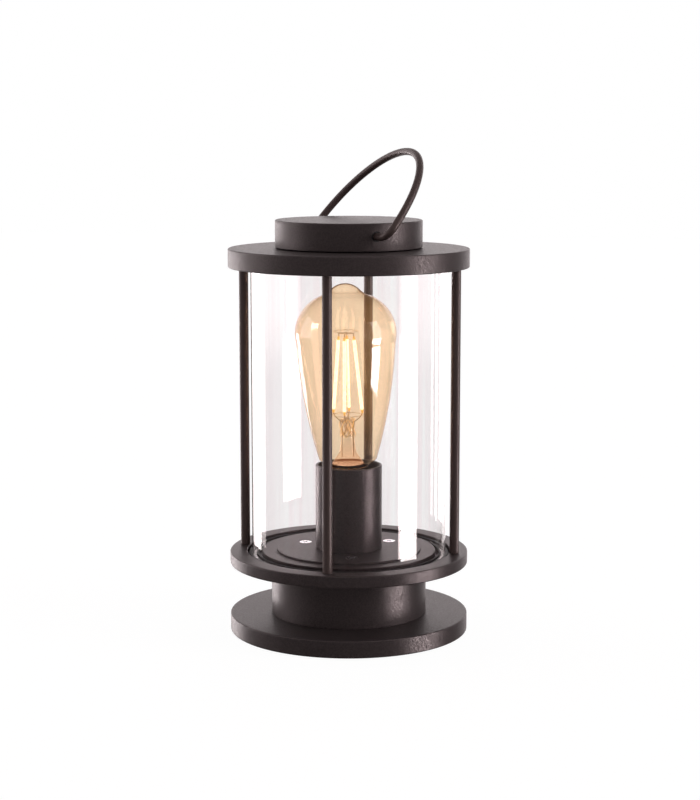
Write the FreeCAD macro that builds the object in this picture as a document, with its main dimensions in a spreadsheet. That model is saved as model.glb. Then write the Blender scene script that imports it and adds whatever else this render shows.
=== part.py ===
"""Lantern table lamp: a round base, a drum neck and a glass cage with four rods, closed by a lid with a bail.

Millimetres. +Z is up and the origin is the bottom centre of the feet. Two rods stand on X and two on Y,
the front one on -Y. Every sub-part is an object of one document, its sizes bound to the sheet "sizes".
"""

import FreeCAD, Part

import math
import os

import Sketcher

os.makedirs("parts", exist_ok=True)

# ---------------------------------------------------------------------------
# Driving dimensions (millimetres and degrees)
# ---------------------------------------------------------------------------

DRIVING = {
    # turned discs, neck and glass
    "disc_diameter": 155.0,
    "edge_chamfer": 0.5,
    "foot_rise": 1.0,
    "foot_diameter": 14.0,
    "foot_circle": 132.0,
    "foot_recess": 1.2,
    "base_thickness": 11.1,
    "neck_diameter": 101.0,
    "neck_wall": 3.0,
    "neck_length": 33.4,
    "register_height": 1.5,
    "flange_thickness": 7.7,
    "cage_height": 185.0,
    "top_thickness": 12.0,
    "glass_diameter": 126.4,
    "glass_wall": 3.2,
    "groove_outer": 132.6,
    "groove_inner": 113.0,
    "groove_depth": 4.2,
    "gasket_thickness": 1.4,
    "gasket_lip": 1.5,
    # cage rods and the long screws through the neck
    "rod_diameter": 6.1,
    "rod_circle": 139.2,
    "rod_stud": 4.0,
    "rod_stud_length": 7.0,
    "rod_screw": 3.0,
    "rod_screw_length": 16.0,
    "tie_screw": 4.0,
    "tie_circle": 80.0,
    "tie_depth": 5.0,
    # lamp holder on its plate
    "plate_diameter": 94.0,
    "plate_thickness": 1.2,
    "plate_screw": 4.0,
    "plate_screw_circle": 64.0,
    "plate_turn": -75.7,
    "sleeve_diameter": 43.2,
    "sleeve_wall": 1.7,
    "sleeve_floor": 1.6,
    "sleeve_length": 54.9,
    "holder_diameter": 37.8,
    "holder_length": 48.0,
    "holder_block": 22.0,
    "shell_bore": 27.5,
    "shell_sheet": 0.55,
    "nipple_diameter": 10.0,
    "nipple_bore": 7.0,
    "nipple_drop": 4.0,
    "nut_height": 3.0,
    "lead_diameter": 1.8,
    # filament bulb with a screw cap of 27 mm
    "bulb_contact_height": 27.1,
    "bulb_lean": 1.0,
    "bulb_lean_azimuth": -169.0,
    "bulb_radius": 32.2,
    "bulb_length": 146.0,
    "bulb_glass": 0.9,
    "cap_radius": 13.05,
    "cap_length": 27.0,
    "cap_sheet": 0.35,
    "filament_diameter": 2.2,
    "support_wire": 0.7,
    # lid, its bayonet ring and the bail
    "lid_diameter": 94.6,
    "lid_wall": 2.8,
    "lid_roof": 3.0,
    "lid_height": 17.4,
    "lid_gap": 0.7,
    "lid_turn": -57.6,
    "ledge_radius": 37.6,
    "ledge_thickness": 3.5,
    "opening_radius": 41.0,
    "running_gap": 0.3,
    "lug_height": 3.5,
    "lug_width": 32.0,
    "lid_unlock": 45.0,
    "pivot_drop": 8.2,
    "wire_diameter": 4.7,
    "wire_clearance": 0.07,
    "bail_radius": 62.6,
    "bail_rise": 2.7,
    "bail_bend": 8.0,
    "bail_end": 40.5,
    "bail_lean": 38.6,
    # screwed cable inlet at the back of the neck
    "inlet_height": 28.8,
    "inlet_thread": 16.0,
    "inlet_bore": 7.2,
    "inlet_flats": 20.0,
}

doc = FreeCAD.newDocument("lantern_table_lamp")
sheet = doc.addObject("Spreadsheet::Sheet", "sizes")
for row, (alias, value) in enumerate(DRIVING.items(), start=1):
    sheet.set(f"A{row}", alias)
    sheet.set(f"B{row}", str(value))
    sheet.setAlias(f"B{row}", alias)
doc.recompute()


class Size:
    """A number that remembers how it is worked out from the sheet, as the text of an expression."""

    def __init__(self, number, text):
        self.number = float(number)
        self.text = text

    def __add__(self, other):
        other = as_size(other)
        return Size(self.number + other.number, f"({self.text} + {other.text})")

    def __sub__(self, other):
        other = as_size(other)
        return Size(self.number - other.number, f"({self.text} - {other.text})")

    def __mul__(self, factor):
        factor = as_size(factor)
        return Size(self.number * factor.number, f"({self.text} * {factor.text})")

    def __truediv__(self, divisor):
        divisor = as_size(divisor)
        return Size(self.number / divisor.number, f"({self.text} / {divisor.text})")

    def __neg__(self):
        return Size(-self.number, f"(0 - {self.text})")


def as_size(value):
    """The value as a Size, whether it is one already or a plain number."""
    if isinstance(value, Size):
        return value
    return Size(value, f"{float(value):.6f}")


def size(name):
    """The driving dimension of that name."""
    return Size(DRIVING[name], f"sizes.{name}")


# ---------------------------------------------------------------------------
# Levels and radii worked out from the driving dimensions
# ---------------------------------------------------------------------------

DISC_R = size("disc_diameter") / 2
EDGE = size("edge_chamfer")
BASE_LOW = size("foot_rise")
BASE_TOP = BASE_LOW + size("base_thickness")
FLANGE_LOW = BASE_TOP + size("neck_length")
FLANGE_TOP = FLANGE_LOW + size("flange_thickness")
TOP_LOW = FLANGE_TOP + size("cage_height")
TOP_TOP = TOP_LOW + size("top_thickness")
LID_LOW = TOP_TOP + size("lid_gap")
LID_TOP = LID_LOW + size("lid_height")
LID_CEILING = LID_TOP - size("lid_roof")
PIVOT_Z = LID_TOP - size("pivot_drop")

NECK_R = size("neck_diameter") / 2
NECK_BORE_R = NECK_R - size("neck_wall")
REGISTER_R = NECK_BORE_R - 0.2
GLASS_R = size("glass_diameter") / 2
GLASS_BORE_R = GLASS_R - size("glass_wall")
GROOVE_OUTER_R = size("groove_outer") / 2
GROOVE_INNER_R = size("groove_inner") / 2
GROOVE_FLOOR = FLANGE_TOP - size("groove_depth")
GLASS_LOW = GROOVE_FLOOR + size("gasket_thickness")
TOP_GROOVE_DEPTH = size("groove_depth") - 0.4
TOP_GROOVE_ROOF = TOP_LOW + TOP_GROOVE_DEPTH
GLASS_HIGH = TOP_GROOVE_ROOF - size("gasket_thickness")
GASKET_OUTER_R = GLASS_R + 1.7
GASKET_INNER_R = GLASS_BORE_R - 1.1

ROD_R = size("rod_diameter") / 2
ROD_CIRCLE_R = size("rod_circle") / 2
TIE_R = size("tie_screw") / 2
TIE_CIRCLE_R = size("tie_circle") / 2

PLATE_TOP = FLANGE_TOP + size("plate_thickness")
SLEEVE_R = size("sleeve_diameter") / 2
SLEEVE_BORE_R = SLEEVE_R - size("sleeve_wall")
SLEEVE_TOP = PLATE_TOP + size("sleeve_length")
HOLDER_LOW = PLATE_TOP + size("sleeve_floor")
HOLDER_R = size("holder_diameter") / 2
HOLDER_TOP = HOLDER_LOW + size("holder_length")
HOLDER_DECK = HOLDER_LOW + size("holder_block")
NIPPLE_R = size("nipple_diameter") / 2
NIPPLE_HOLE_R = NIPPLE_R + 0.1
NIPPLE_LOW = FLANGE_LOW - size("nipple_drop")
NIPPLE_HIGH = HOLDER_LOW + 6.5
CONTACT_Z = PLATE_TOP + size("bulb_contact_height")

LID_R = size("lid_diameter") / 2
LID_BORE_R = LID_R - size("lid_wall")
LEDGE_R = size("ledge_radius")
LEDGE_LOW = TOP_TOP - size("ledge_thickness")
SPIGOT_R = LEDGE_R - size("running_gap")
SPIGOT_BORE_R = SPIGOT_R - 4.0
LUG_R = size("opening_radius") - 0.4
LUG_TOP = LEDGE_LOW - 0.4
LUG_LOW = LUG_TOP - size("lug_height")
SPIGOT_LOW = LUG_LOW - 1.3
RING_LOW = TOP_TOP + 1.4
RING_HIGH = RING_LOW + 2.0
BOSS_CIRCLE_R = 30.0

INLET_FACE = NECK_R - 1.1
INLET_SEAT = NECK_BORE_R - 2.0
INLET_THREAD_R = size("inlet_thread") / 2
INLET_BORE_R = size("inlet_bore") / 2

WIRE_R = size("wire_diameter") / 2
WIRE_HOLE_R = WIRE_R + size("wire_clearance")
BUSH_R = WIRE_HOLE_R + 0.93
CLIP_LOW = LID_BORE_R - 2.65
CLIP_HIGH = LID_BORE_R - 1.95

BLOCK_NEAR_Y = 16.0
BLOCK_FAR_Y = 30.0
BLOCK_HALF_WIDTH = 13.0
BLOCK_HEIGHT = 14.0
EARTH_Y = 23.0
LEAD_LEVEL = FLANGE_LOW - 9.5
POLE_X = 4.0

FREE = 0.05  # radial clearance round a fixed screw or stud
LUGS = 3
RODS = 4

VECTOR = FreeCAD.Vector
UP = VECTOR(0, 0, 1)


# ---------------------------------------------------------------------------
# Sketches and features
# ---------------------------------------------------------------------------

def origin_feature(body, role):
    """The body's own origin plane or axis with that role."""
    for feature in body.Origin.OriginFeatures:
        if feature.Role == role:
            return feature
    raise LookupError(role)


def new_body(label):
    """An empty body that may hold several separate solids."""
    body = doc.addObject("PartDesign::Body", label)
    body.Label = label
    body.AllowCompound = True
    return body


def arc_between(start, end, bend):
    """The arc from start to end with radius |bend|: positive turns left, negative turns right."""
    chord = end - start
    half = chord.Length / 2
    left = VECTOR(-chord.y, chord.x, 0)
    left.normalize()
    reach = math.sqrt(bend * bend - half * half)
    middle = (start + end) / 2
    side = 1 if bend > 0 else -1
    centre = middle + left * (side * reach)
    first, last = (start, end) if bend > 0 else (end, start)
    from_angle = math.atan2(first.y - centre.y, first.x - centre.x)
    to_angle = math.atan2(last.y - centre.y, last.x - centre.x)
    if to_angle < from_angle:
        to_angle += 2 * math.pi
    circle = Part.Circle(centre, UP, abs(bend))
    return Part.ArcOfCircle(circle, from_angle, to_angle)


def bind_constraint(sketch, kind, places, value):
    """Add a dimension to the sketch and bind it to the sheet."""
    index = sketch.addConstraint(Sketcher.Constraint(kind, *places, value.number))
    sketch.setExpression(f"Constraints[{index}]", value.text)


def pin_point(sketch, edge, end, across, along):
    """Fix one end of an edge at bound distances from the sketch's origin."""
    for kind, axis, value in (("DistanceX", -2, across), ("DistanceY", -1, along)):
        if abs(value.number) < 1e-9:
            sketch.addConstraint(Sketcher.Constraint("PointOnObject", edge, end, axis))
        else:
            bind_constraint(sketch, kind, (-1, 1, edge, end), value)


def outline(sketch, points, shift=(0, 0), closed=True):
    """Draw an outline through points (across, along[, bend]); a bend makes the edge to that point an arc."""
    places = []
    for point in points:
        places.append((as_size(point[0]) + shift[0], as_size(point[1]) + shift[1]))
    count = len(points)
    edges = count if closed else count - 1
    first = sketch.GeometryCount
    ends = []
    for index in range(edges):
        there = (index + 1) % count
        start = VECTOR(places[index][0].number, places[index][1].number, 0)
        end = VECTOR(places[there][0].number, places[there][1].number, 0)
        bend = as_size(points[there][2]) if len(points[there]) > 2 else None
        if bend is None:
            sketch.addGeometry(Part.LineSegment(start, end), False)
            ends.append((1, 2))
        else:
            sketch.addGeometry(arc_between(start, end, bend.number), False)
            ends.append((1, 2) if bend.number > 0 else (2, 1))
            radius = bend if bend.number > 0 else -bend
            bind_constraint(sketch, "Radius", (first + index,), radius)
    joints = edges if closed else edges - 1
    for index in range(joints):
        there = (index + 1) % edges
        join = (first + index, ends[index][1], first + there, ends[there][0])
        sketch.addConstraint(Sketcher.Constraint("Coincident", *join))
    for index in range(edges):
        pin_point(sketch, first + index, ends[index][0], *places[index])
    if not closed:
        pin_point(sketch, first + edges - 1, ends[-1][1], *places[-1])


def new_sketch(body, name, plane, azimuth=0.0, offset=None):
    """A sketch on one of the body's origin planes, turned about the sheet's vertical or raised by offset."""
    sketch = body.newObject("Sketcher::SketchObject", f"{body.Label}_{name}_sketch")
    sketch.AttachmentSupport = (origin_feature(body, plane), [""])
    sketch.MapMode = "FlatFace"
    if plane == "XZ_Plane":
        turn = FreeCAD.Rotation(VECTOR(0, 1, 0), as_size(azimuth).number)
        sketch.AttachmentOffset = FreeCAD.Placement(VECTOR(0, 0, 0), turn)
    if offset is not None:
        sketch.AttachmentOffset = FreeCAD.Placement(VECTOR(0, 0, offset.number), FreeCAD.Rotation())
        sketch.setExpression(".AttachmentOffset.Base.z", offset.text)
    return sketch


def turned(body, name, points, offset=0.0, lying=False, azimuth=0.0, sweep=360.0, cut=False):
    """Turn an outline (radius, height) about an upright axis at x = offset, or, lying, about a level one.

    A lying outline is (distance out, radius) about a level axis at height offset. The plane of the outline
    stands at the azimuth, counted from +X towards +Y. A sweep under 360 is centred on that plane.
    """
    offset = as_size(offset)
    sketch = new_sketch(body, name, "XZ_Plane", azimuth)
    outline(sketch, points, (0, offset) if lying else (offset, 0))
    if abs(offset.number) < 1e-9:
        axis = "H_Axis" if lying else "V_Axis"
    else:
        start = VECTOR(0, offset.number, 0) if lying else VECTOR(offset.number, 0, 0)
        end = start + (VECTOR(10, 0, 0) if lying else VECTOR(0, 10, 0))
        line = sketch.addGeometry(Part.LineSegment(start, end), True)
        far = (as_size(10), offset) if lying else (offset, as_size(10))
        near = (as_size(0), offset) if lying else (offset, as_size(0))
        pin_point(sketch, line, 1, *near)
        pin_point(sketch, line, 2, *far)
        axis = "Axis0"
    kind = "PartDesign::Groove" if cut else "PartDesign::Revolution"
    feature = body.newObject(kind, f"{body.Label}_{name}")
    feature.Profile = sketch
    feature.ReferenceAxis = (sketch, [axis])
    full = as_size(sweep)
    feature.Angle = full.number
    feature.setExpression("Angle", full.text)
    feature.Midplane = full.number < 360
    doc.recompute()
    return feature


def padded(body, name, points, low, height, cut=False):
    """Raise a flat outline (x, y) from the level low by height, as a solid or as a cut."""
    low = as_size(low)
    height = as_size(height)
    sketch = new_sketch(body, name, "XY_Plane", offset=low)
    outline(sketch, points)
    feature = body.newObject("PartDesign::Pocket" if cut else "PartDesign::Pad", f"{body.Label}_{name}")
    feature.Profile = sketch
    feature.Length = height.number
    feature.setExpression("Length", height.text)
    feature.Reversed = cut
    doc.recompute()
    return feature


def repeated(body, name, features, count):
    """Repeat features evenly round the lamp's axis."""
    pattern = body.newObject("PartDesign::PolarPattern", f"{body.Label}_{name}")
    pattern.Originals = features
    pattern.Axis = (origin_feature(body, "Z_Axis"), [""])
    pattern.Angle = 360
    pattern.Occurrences = count
    body.Tip = pattern
    doc.recompute()
    return pattern


def hexagon(flats):
    """The corners of a hexagon with that distance across its flats."""
    corner = flats * (1 / math.sqrt(3))
    half = corner / 2
    side = flats / 2
    return [(corner, 0), (half, side), (-half, side), (-corner, 0), (-half, -side), (half, -side)]


def square(middle_x, middle_y, width, depth):
    """The corners of a rectangle round a middle."""
    corners = ((-0.5, -0.5), (0.5, -0.5), (0.5, 0.5), (-0.5, 0.5))
    return [(middle_x + width * x, middle_y + depth * y) for x, y in corners]


def ring(inner, outer, low, high):
    """The outline of a plain ring."""
    return [(inner, low), (outer, low), (outer, high), (inner, high)]


def hole(radius, low, high):
    """The outline of a plain round hole."""
    return [(0, low), (radius, low), (radius, high), (0, high)]


def turned_body(label, points):
    """A body that is one full revolution of an outline."""
    body = new_body(label)
    turned(body, "form", points)
    return body


def expect_change(body, before, name):
    """Stop when a cut or a pattern has left the body's volume as it was."""
    after = body.Shape.Volume
    if abs(after - before) < 0.5:
        raise RuntimeError(f"{body.Label}: {name} changed nothing")
    return after


def bind(item, property_name, value):
    """Set a property and bind it to the sheet."""
    value = as_size(value)
    setattr(item, property_name, value.number)
    item.setExpression(property_name, value.text)


def combine(kind, name, base, tool):
    """A boolean of two objects."""
    result = doc.addObject(kind, name)
    result.Label = name
    result.Base = base
    result.Tool = tool
    return result


def outward_cylinder(name, radius, start, length):
    """A cylinder along +Y at the height of the cable inlet, from y = start."""
    start = as_size(start)
    height = size("inlet_height")
    cylinder = doc.addObject("Part::Cylinder", name)
    bind(cylinder, "Radius", radius)
    bind(cylinder, "Height", length)
    turn = FreeCAD.Rotation(VECTOR(1, 0, 0), -90)
    cylinder.Placement = FreeCAD.Placement(VECTOR(0, start.number, height.number), turn)
    cylinder.setExpression(".Placement.Base.y", start.text)
    cylinder.setExpression(".Placement.Base.z", height.text)
    return cylinder


# ---------------------------------------------------------------------------
# Base, neck and the screws that hold them together
# ---------------------------------------------------------------------------

def base_disc():
    """Turned disc with a register for the neck, a shallow relief beneath and seats for feet and screws."""
    relief_r = 33.0
    relief_depth = 3.0
    body = turned_body("base_disc", [
        (0, BASE_LOW + relief_depth), (relief_r, BASE_LOW + relief_depth), (relief_r, BASE_LOW),
        (DISC_R - EDGE, BASE_LOW), (DISC_R, BASE_LOW + EDGE), (DISC_R, BASE_TOP - EDGE),
        (DISC_R - EDGE, BASE_TOP), (REGISTER_R, BASE_TOP),
        (REGISTER_R, BASE_TOP + size("register_height")), (0, BASE_TOP + size("register_height")),
    ])
    volume = body.Shape.Volume
    head_r = TIE_R * 2 + 0.5
    hole_r = TIE_R + 0.3
    screw_hole = turned(body, "tie_hole", [
        (0, BASE_LOW - 1), (head_r, BASE_LOW - 1), (head_r, BASE_LOW), (hole_r, BASE_LOW + 2.2),
        (hole_r, BASE_TOP + 3), (0, BASE_TOP + 3),
    ], TIE_CIRCLE_R, azimuth=45, cut=True)
    repeated(body, "tie_holes", [screw_hole], 4)
    volume = expect_change(body, volume, "tie holes")
    seat_r = size("foot_diameter") / 2 + 0.1
    seat = turned(body, "foot_seat", hole(seat_r, BASE_LOW - 1, BASE_LOW + size("foot_recess")),
                  size("foot_circle") / 2, cut=True)
    repeated(body, "foot_seats", [seat], 4)
    expect_change(body, volume, "foot seats")
    return body


def rubber_feet():
    """Four pads pressed into the seats of the base."""
    body = new_body("rubber_feet")
    radius = size("foot_diameter") / 2
    top = BASE_LOW + size("foot_recess")
    foot = turned(body, "pad", [(0, 0), (radius - 0.4, 0), (radius, 0.4), (radius, top), (0, top)],
                  size("foot_circle") / 2)
    repeated(body, "pads", [foot], 4)
    return body


def neck_drum():
    """Tube between base and flange, with a flat seat inside and outside for the cable inlet."""
    tube = doc.addObject("Part::Cylinder", "neck_outside")
    bind(tube, "Radius", NECK_R)
    bind(tube, "Height", size("neck_length"))
    tube.Placement.Base = VECTOR(0, 0, BASE_TOP.number)
    tube.setExpression(".Placement.Base.z", BASE_TOP.text)
    bore = doc.addObject("Part::Cylinder", "neck_bore")
    bind(bore, "Radius", NECK_BORE_R)
    bind(bore, "Height", size("neck_length") + 2)
    bore.Placement.Base = VECTOR(0, 0, BASE_TOP.number - 1)
    bore.setExpression(".Placement.Base.z", (BASE_TOP - 1).text)
    wall = combine("Part::Cut", "neck_wall_tube", tube, bore)
    boss = outward_cylinder("neck_inlet_boss", 13.0, INLET_SEAT, 3.5)
    bossed = combine("Part::Fuse", "neck_bossed", wall, boss)
    spot = outward_cylinder("neck_spot_face", 12.0, INLET_FACE, 5.0)
    faced = combine("Part::Cut", "neck_faced", bossed, spot)
    entry = outward_cylinder("neck_entry", INLET_THREAD_R + 0.1, INLET_SEAT - 2, 12.0)
    return combine("Part::Cut", "neck_drum", faced, entry)


def neck_tie_screws():
    """Four countersunk screws from under the base, through the neck, into the flange."""
    body = new_body("neck_tie_screws")
    head_r = TIE_R * 2
    head_low = BASE_LOW + 0.3
    screw = turned(body, "screw", [
        (0, head_low), (head_r, head_low), (TIE_R, head_low + 2.0),
        (TIE_R, FLANGE_LOW + size("tie_depth") - 0.5), (0, FLANGE_LOW + size("tie_depth") - 0.5),
    ], TIE_CIRCLE_R, azimuth=45)
    repeated(body, "screws", [screw], 4)
    return body


# ---------------------------------------------------------------------------
# Screwed cable inlet at the back of the neck. Its bodies are drawn upright and laid along +Y.
# ---------------------------------------------------------------------------

def lay_along_y(body):
    """Lay an upright body so that its axis runs along +Y at the height of the inlet."""
    height = size("inlet_height")
    body.Placement = FreeCAD.Placement(VECTOR(0, 0, height.number), FreeCAD.Rotation(VECTOR(1, 0, 0), -90))
    body.setExpression(".Placement.Base.z", height.text)
    return body


def inlet_body():
    """Hexagon between two threads, bored for the cable, with the seat of the seal in its outer end."""
    body = new_body("inlet_body")
    seat_r = INLET_BORE_R + 2.4
    outer_r = INLET_THREAD_R - 0.7
    turned(body, "threads", [
        (INLET_BORE_R + 0.6, INLET_FACE - 7.5), (INLET_THREAD_R, INLET_FACE - 7.5),
        (INLET_THREAD_R, INLET_FACE + 2), (outer_r, INLET_FACE + 2), (outer_r, INLET_FACE + 11.5),
        (seat_r, INLET_FACE + 11.5), (seat_r, INLET_FACE + 6.5), (INLET_BORE_R + 0.6, INLET_FACE + 6.5),
    ])
    padded(body, "hexagon", hexagon(size("inlet_flats")), INLET_FACE, 4.5)
    volume = body.Shape.Volume
    turned(body, "bore", hole(INLET_BORE_R + 0.6, INLET_FACE - 8, INLET_FACE + 7), cut=True)
    expect_change(body, volume, "bore")
    return lay_along_y(body)


def inlet_seal():
    """Rubber ring that grips a cable in the inlet."""
    low = INLET_FACE + 6.6
    body = turned_body("inlet_seal", ring(INLET_BORE_R, INLET_BORE_R + 2.3, low, low + 7.0))
    return lay_along_y(body)


def inlet_cap_nut():
    """Domed cap nut over the seal, hexagonal at its foot."""
    body = new_body("inlet_cap_nut")
    low = INLET_FACE + 4.7
    thread_r = INLET_THREAD_R - 0.6
    mouth_r = INLET_BORE_R + 0.5
    padded(body, "hexagon", hexagon(size("inlet_flats")), low, 7.0)
    turned(body, "dome", [
        (0, low + 6.5), (9.6, low + 6.5), (9.2, low + 9.5), (6.6, low + 12.6), (0, low + 12.6),
    ])
    volume = body.Shape.Volume
    turned(body, "inside", [
        (0, low - 1), (thread_r, low - 1), (thread_r, low + 7.2), (INLET_BORE_R + 2.5, low + 9.2),
        (mouth_r, low + 9.4), (mouth_r, low + 13), (0, low + 13),
    ], cut=True)
    expect_change(body, volume, "inside")
    return lay_along_y(body)


def inlet_locknut():
    """Flat hexagon nut behind the neck wall."""
    body = new_body("inlet_locknut")
    high = INLET_SEAT
    padded(body, "hexagon", hexagon(size("inlet_flats") + 2), high - 3.5, 3.5)
    volume = body.Shape.Volume
    turned(body, "bore", hole(INLET_THREAD_R + FREE, high - 5, high + 1), cut=True)
    expect_change(body, volume, "bore")
    return lay_along_y(body)


# ---------------------------------------------------------------------------
# Flange, glass, gaskets, rods and top disc: the cage
# ---------------------------------------------------------------------------

def flange_disc():
    """Lower disc of the cage with the groove of the glass, a register for the neck and every screw hole."""
    body = turned_body("flange_disc", [
        (NIPPLE_HOLE_R, FLANGE_LOW), (REGISTER_R - 3.3, FLANGE_LOW),
        (REGISTER_R - 3.3, FLANGE_LOW - size("register_height")),
        (REGISTER_R, FLANGE_LOW - size("register_height")), (REGISTER_R, FLANGE_LOW),
        (DISC_R - EDGE, FLANGE_LOW), (DISC_R, FLANGE_LOW + EDGE), (DISC_R, FLANGE_TOP - EDGE),
        (DISC_R - EDGE, FLANGE_TOP), (GROOVE_OUTER_R, FLANGE_TOP),
        (GROOVE_OUTER_R, GROOVE_FLOOR), (GROOVE_INNER_R, GROOVE_FLOOR), (GROOVE_INNER_R, FLANGE_TOP),
        (NIPPLE_HOLE_R, FLANGE_TOP),
    ])
    volume = body.Shape.Volume
    screw_r = size("rod_screw") / 2 + 0.15
    rod_hole = turned(body, "rod_hole", [
        (0, FLANGE_LOW - 1), (screw_r * 2 + 1.05, FLANGE_LOW - 1), (screw_r, FLANGE_LOW + 1.8),
        (screw_r, FLANGE_TOP + 1), (0, FLANGE_TOP + 1),
    ], ROD_CIRCLE_R, cut=True)
    repeated(body, "rod_holes", [rod_hole], RODS)
    volume = expect_change(body, volume, "rod holes")
    tie_hole = turned(body, "tie_hole", hole(TIE_R + FREE, FLANGE_LOW - 1, FLANGE_LOW + size("tie_depth")),
                      TIE_CIRCLE_R, azimuth=45, cut=True)
    repeated(body, "tie_holes", [tie_hole], 4)
    volume = expect_change(body, volume, "tie holes")
    plate_r = size("plate_screw") / 2 + FREE
    plate_hole = turned(body, "plate_hole", [
        (0, FLANGE_LOW + 0.8), (plate_r, FLANGE_LOW + 0.8), (plate_r, FLANGE_TOP - 0.9),
        (plate_r + 1.1, FLANGE_TOP + 0.2), (0, FLANGE_TOP + 0.2),
    ], size("plate_screw_circle") / 2, azimuth=size("plate_turn"), cut=True)
    repeated(body, "plate_holes", [plate_hole], LUGS)
    volume = expect_change(body, volume, "plate holes")
    turned(body, "earth_hole", hole(TIE_R + FREE, FLANGE_LOW - 1, FLANGE_LOW + 5.0), EARTH_Y, azimuth=90,
           cut=True)
    expect_change(body, volume, "earth hole")
    return body


def lower_glass_gasket():
    """Silicone channel that holds the lower edge of the glass."""
    lip = GLASS_LOW + size("gasket_lip")
    return turned_body("lower_glass_gasket", [
        (GASKET_INNER_R, GROOVE_FLOOR), (GASKET_OUTER_R, GROOVE_FLOOR), (GASKET_OUTER_R, lip),
        (GLASS_R + 0.2, lip), (GLASS_R + 0.2, GLASS_LOW), (GLASS_BORE_R - 0.2, GLASS_LOW),
        (GLASS_BORE_R - 0.2, lip), (GASKET_INNER_R, lip),
    ])


def upper_glass_gasket():
    """The same channel upside down, round the upper edge of the glass."""
    lip = GLASS_HIGH - size("gasket_lip")
    return turned_body("upper_glass_gasket", [
        (GASKET_INNER_R, lip), (GLASS_BORE_R - 0.2, lip), (GLASS_BORE_R - 0.2, GLASS_HIGH),
        (GLASS_R + 0.2, GLASS_HIGH), (GLASS_R + 0.2, lip), (GASKET_OUTER_R, lip),
        (GASKET_OUTER_R, TOP_GROOVE_ROOF), (GASKET_INNER_R, TOP_GROOVE_ROOF),
    ])


def glass_cylinder():
    """Clear glass tube."""
    return turned_body("glass_cylinder", ring(GLASS_BORE_R, GLASS_R, GLASS_LOW, GLASS_HIGH))


def top_disc():
    """Upper disc of the cage: groove beneath, opening for the bulb and a ledge that the lid's lugs catch."""
    opening = size("opening_radius")
    body = turned_body("top_disc", [
        (GASKET_OUTER_R + 0.2, TOP_LOW), (DISC_R - EDGE, TOP_LOW), (DISC_R, TOP_LOW + EDGE),
        (DISC_R, TOP_TOP - EDGE), (DISC_R - EDGE, TOP_TOP), (LEDGE_R, TOP_TOP),
        (LEDGE_R, LEDGE_LOW), (opening, LEDGE_LOW), (opening, TOP_LOW), (GASKET_INNER_R - 0.2, TOP_LOW),
        (GASKET_INNER_R - 0.2, TOP_GROOVE_ROOF), (GASKET_OUTER_R + 0.2, TOP_GROOVE_ROOF),
    ])
    volume = body.Shape.Volume
    notch = turned(body, "notch", ring(LEDGE_R - 1, opening, LEDGE_LOW - 0.5, TOP_TOP + 1),
                   azimuth=size("lid_unlock"), sweep=size("lug_width") + 4, cut=True)
    repeated(body, "notches", [notch], LUGS)
    volume = expect_change(body, volume, "notches")
    stop = turned(body, "stop", ring(SPIGOT_R + 0.5, opening + 0.5, LUG_LOW, LEDGE_LOW + 0.5),
                  azimuth=-(size("lug_width") / 2) - 3.3, sweep=5)
    repeated(body, "stops", [stop], LUGS)
    volume = expect_change(body, volume, "stops")
    stud_hole = turned(body, "stud_hole", hole(size("rod_stud") / 2 + FREE, TOP_LOW - 1,
                                               TOP_LOW + size("rod_stud_length") + 0.5),
                       ROD_CIRCLE_R, cut=True)
    repeated(body, "stud_holes", [stud_hole], RODS)
    expect_change(body, volume, "stud holes")
    return body


def cage_rod(label, azimuth):
    """Round rod with a stud in the top disc and a tapped hole for the screw under the flange."""
    body = new_body(label)
    stud_r = size("rod_stud") / 2
    tap_r = size("rod_screw") / 2 + FREE
    tap_high = FLANGE_TOP + 12.0
    turned(body, "form", [
        (tap_r, FLANGE_TOP), (ROD_R, FLANGE_TOP), (ROD_R, TOP_LOW), (stud_r, TOP_LOW),
        (stud_r, TOP_LOW + size("rod_stud_length")), (0, TOP_LOW + size("rod_stud_length")),
        (0, tap_high), (tap_r, tap_high),
    ], ROD_CIRCLE_R)
    body.Placement = FreeCAD.Placement(VECTOR(0, 0, 0), FreeCAD.Rotation(UP, azimuth))
    return body


def rod_screws():
    """Countersunk screws from beneath the flange into the rods."""
    body = new_body("rod_screws")
    radius = size("rod_screw") / 2
    low = FLANGE_LOW + 0.1
    high = low + size("rod_screw_length")
    screw = turned(body, "screw", [
        (0, low), (radius * 2, low), (radius, low + 1.5), (radius, high), (0, high),
    ], ROD_CIRCLE_R)
    repeated(body, "screws", [screw], RODS)
    return body


# ---------------------------------------------------------------------------
# Lamp holder on its plate, and the wiring inside the neck
# ---------------------------------------------------------------------------

def holder_plate():
    """Round sheet plate on the flange, with three countersunk holes."""
    radius = size("plate_diameter") / 2
    body = turned_body("holder_plate", ring(NIPPLE_HOLE_R, radius, FLANGE_TOP, PLATE_TOP))
    volume = body.Shape.Volume
    hole_r = size("plate_screw") / 2 + 0.8
    countersunk = turned(body, "screw_hole", [
        (0, FLANGE_TOP - 0.1), (hole_r, FLANGE_TOP - 0.1), (hole_r + 1.35, PLATE_TOP + 0.05),
        (hole_r + 1.35, PLATE_TOP + 0.2), (0, PLATE_TOP + 0.2),
    ], size("plate_screw_circle") / 2, azimuth=size("plate_turn"), cut=True)
    repeated(body, "screw_holes", [countersunk], LUGS)
    expect_change(body, volume, "screw holes")
    return body


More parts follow.
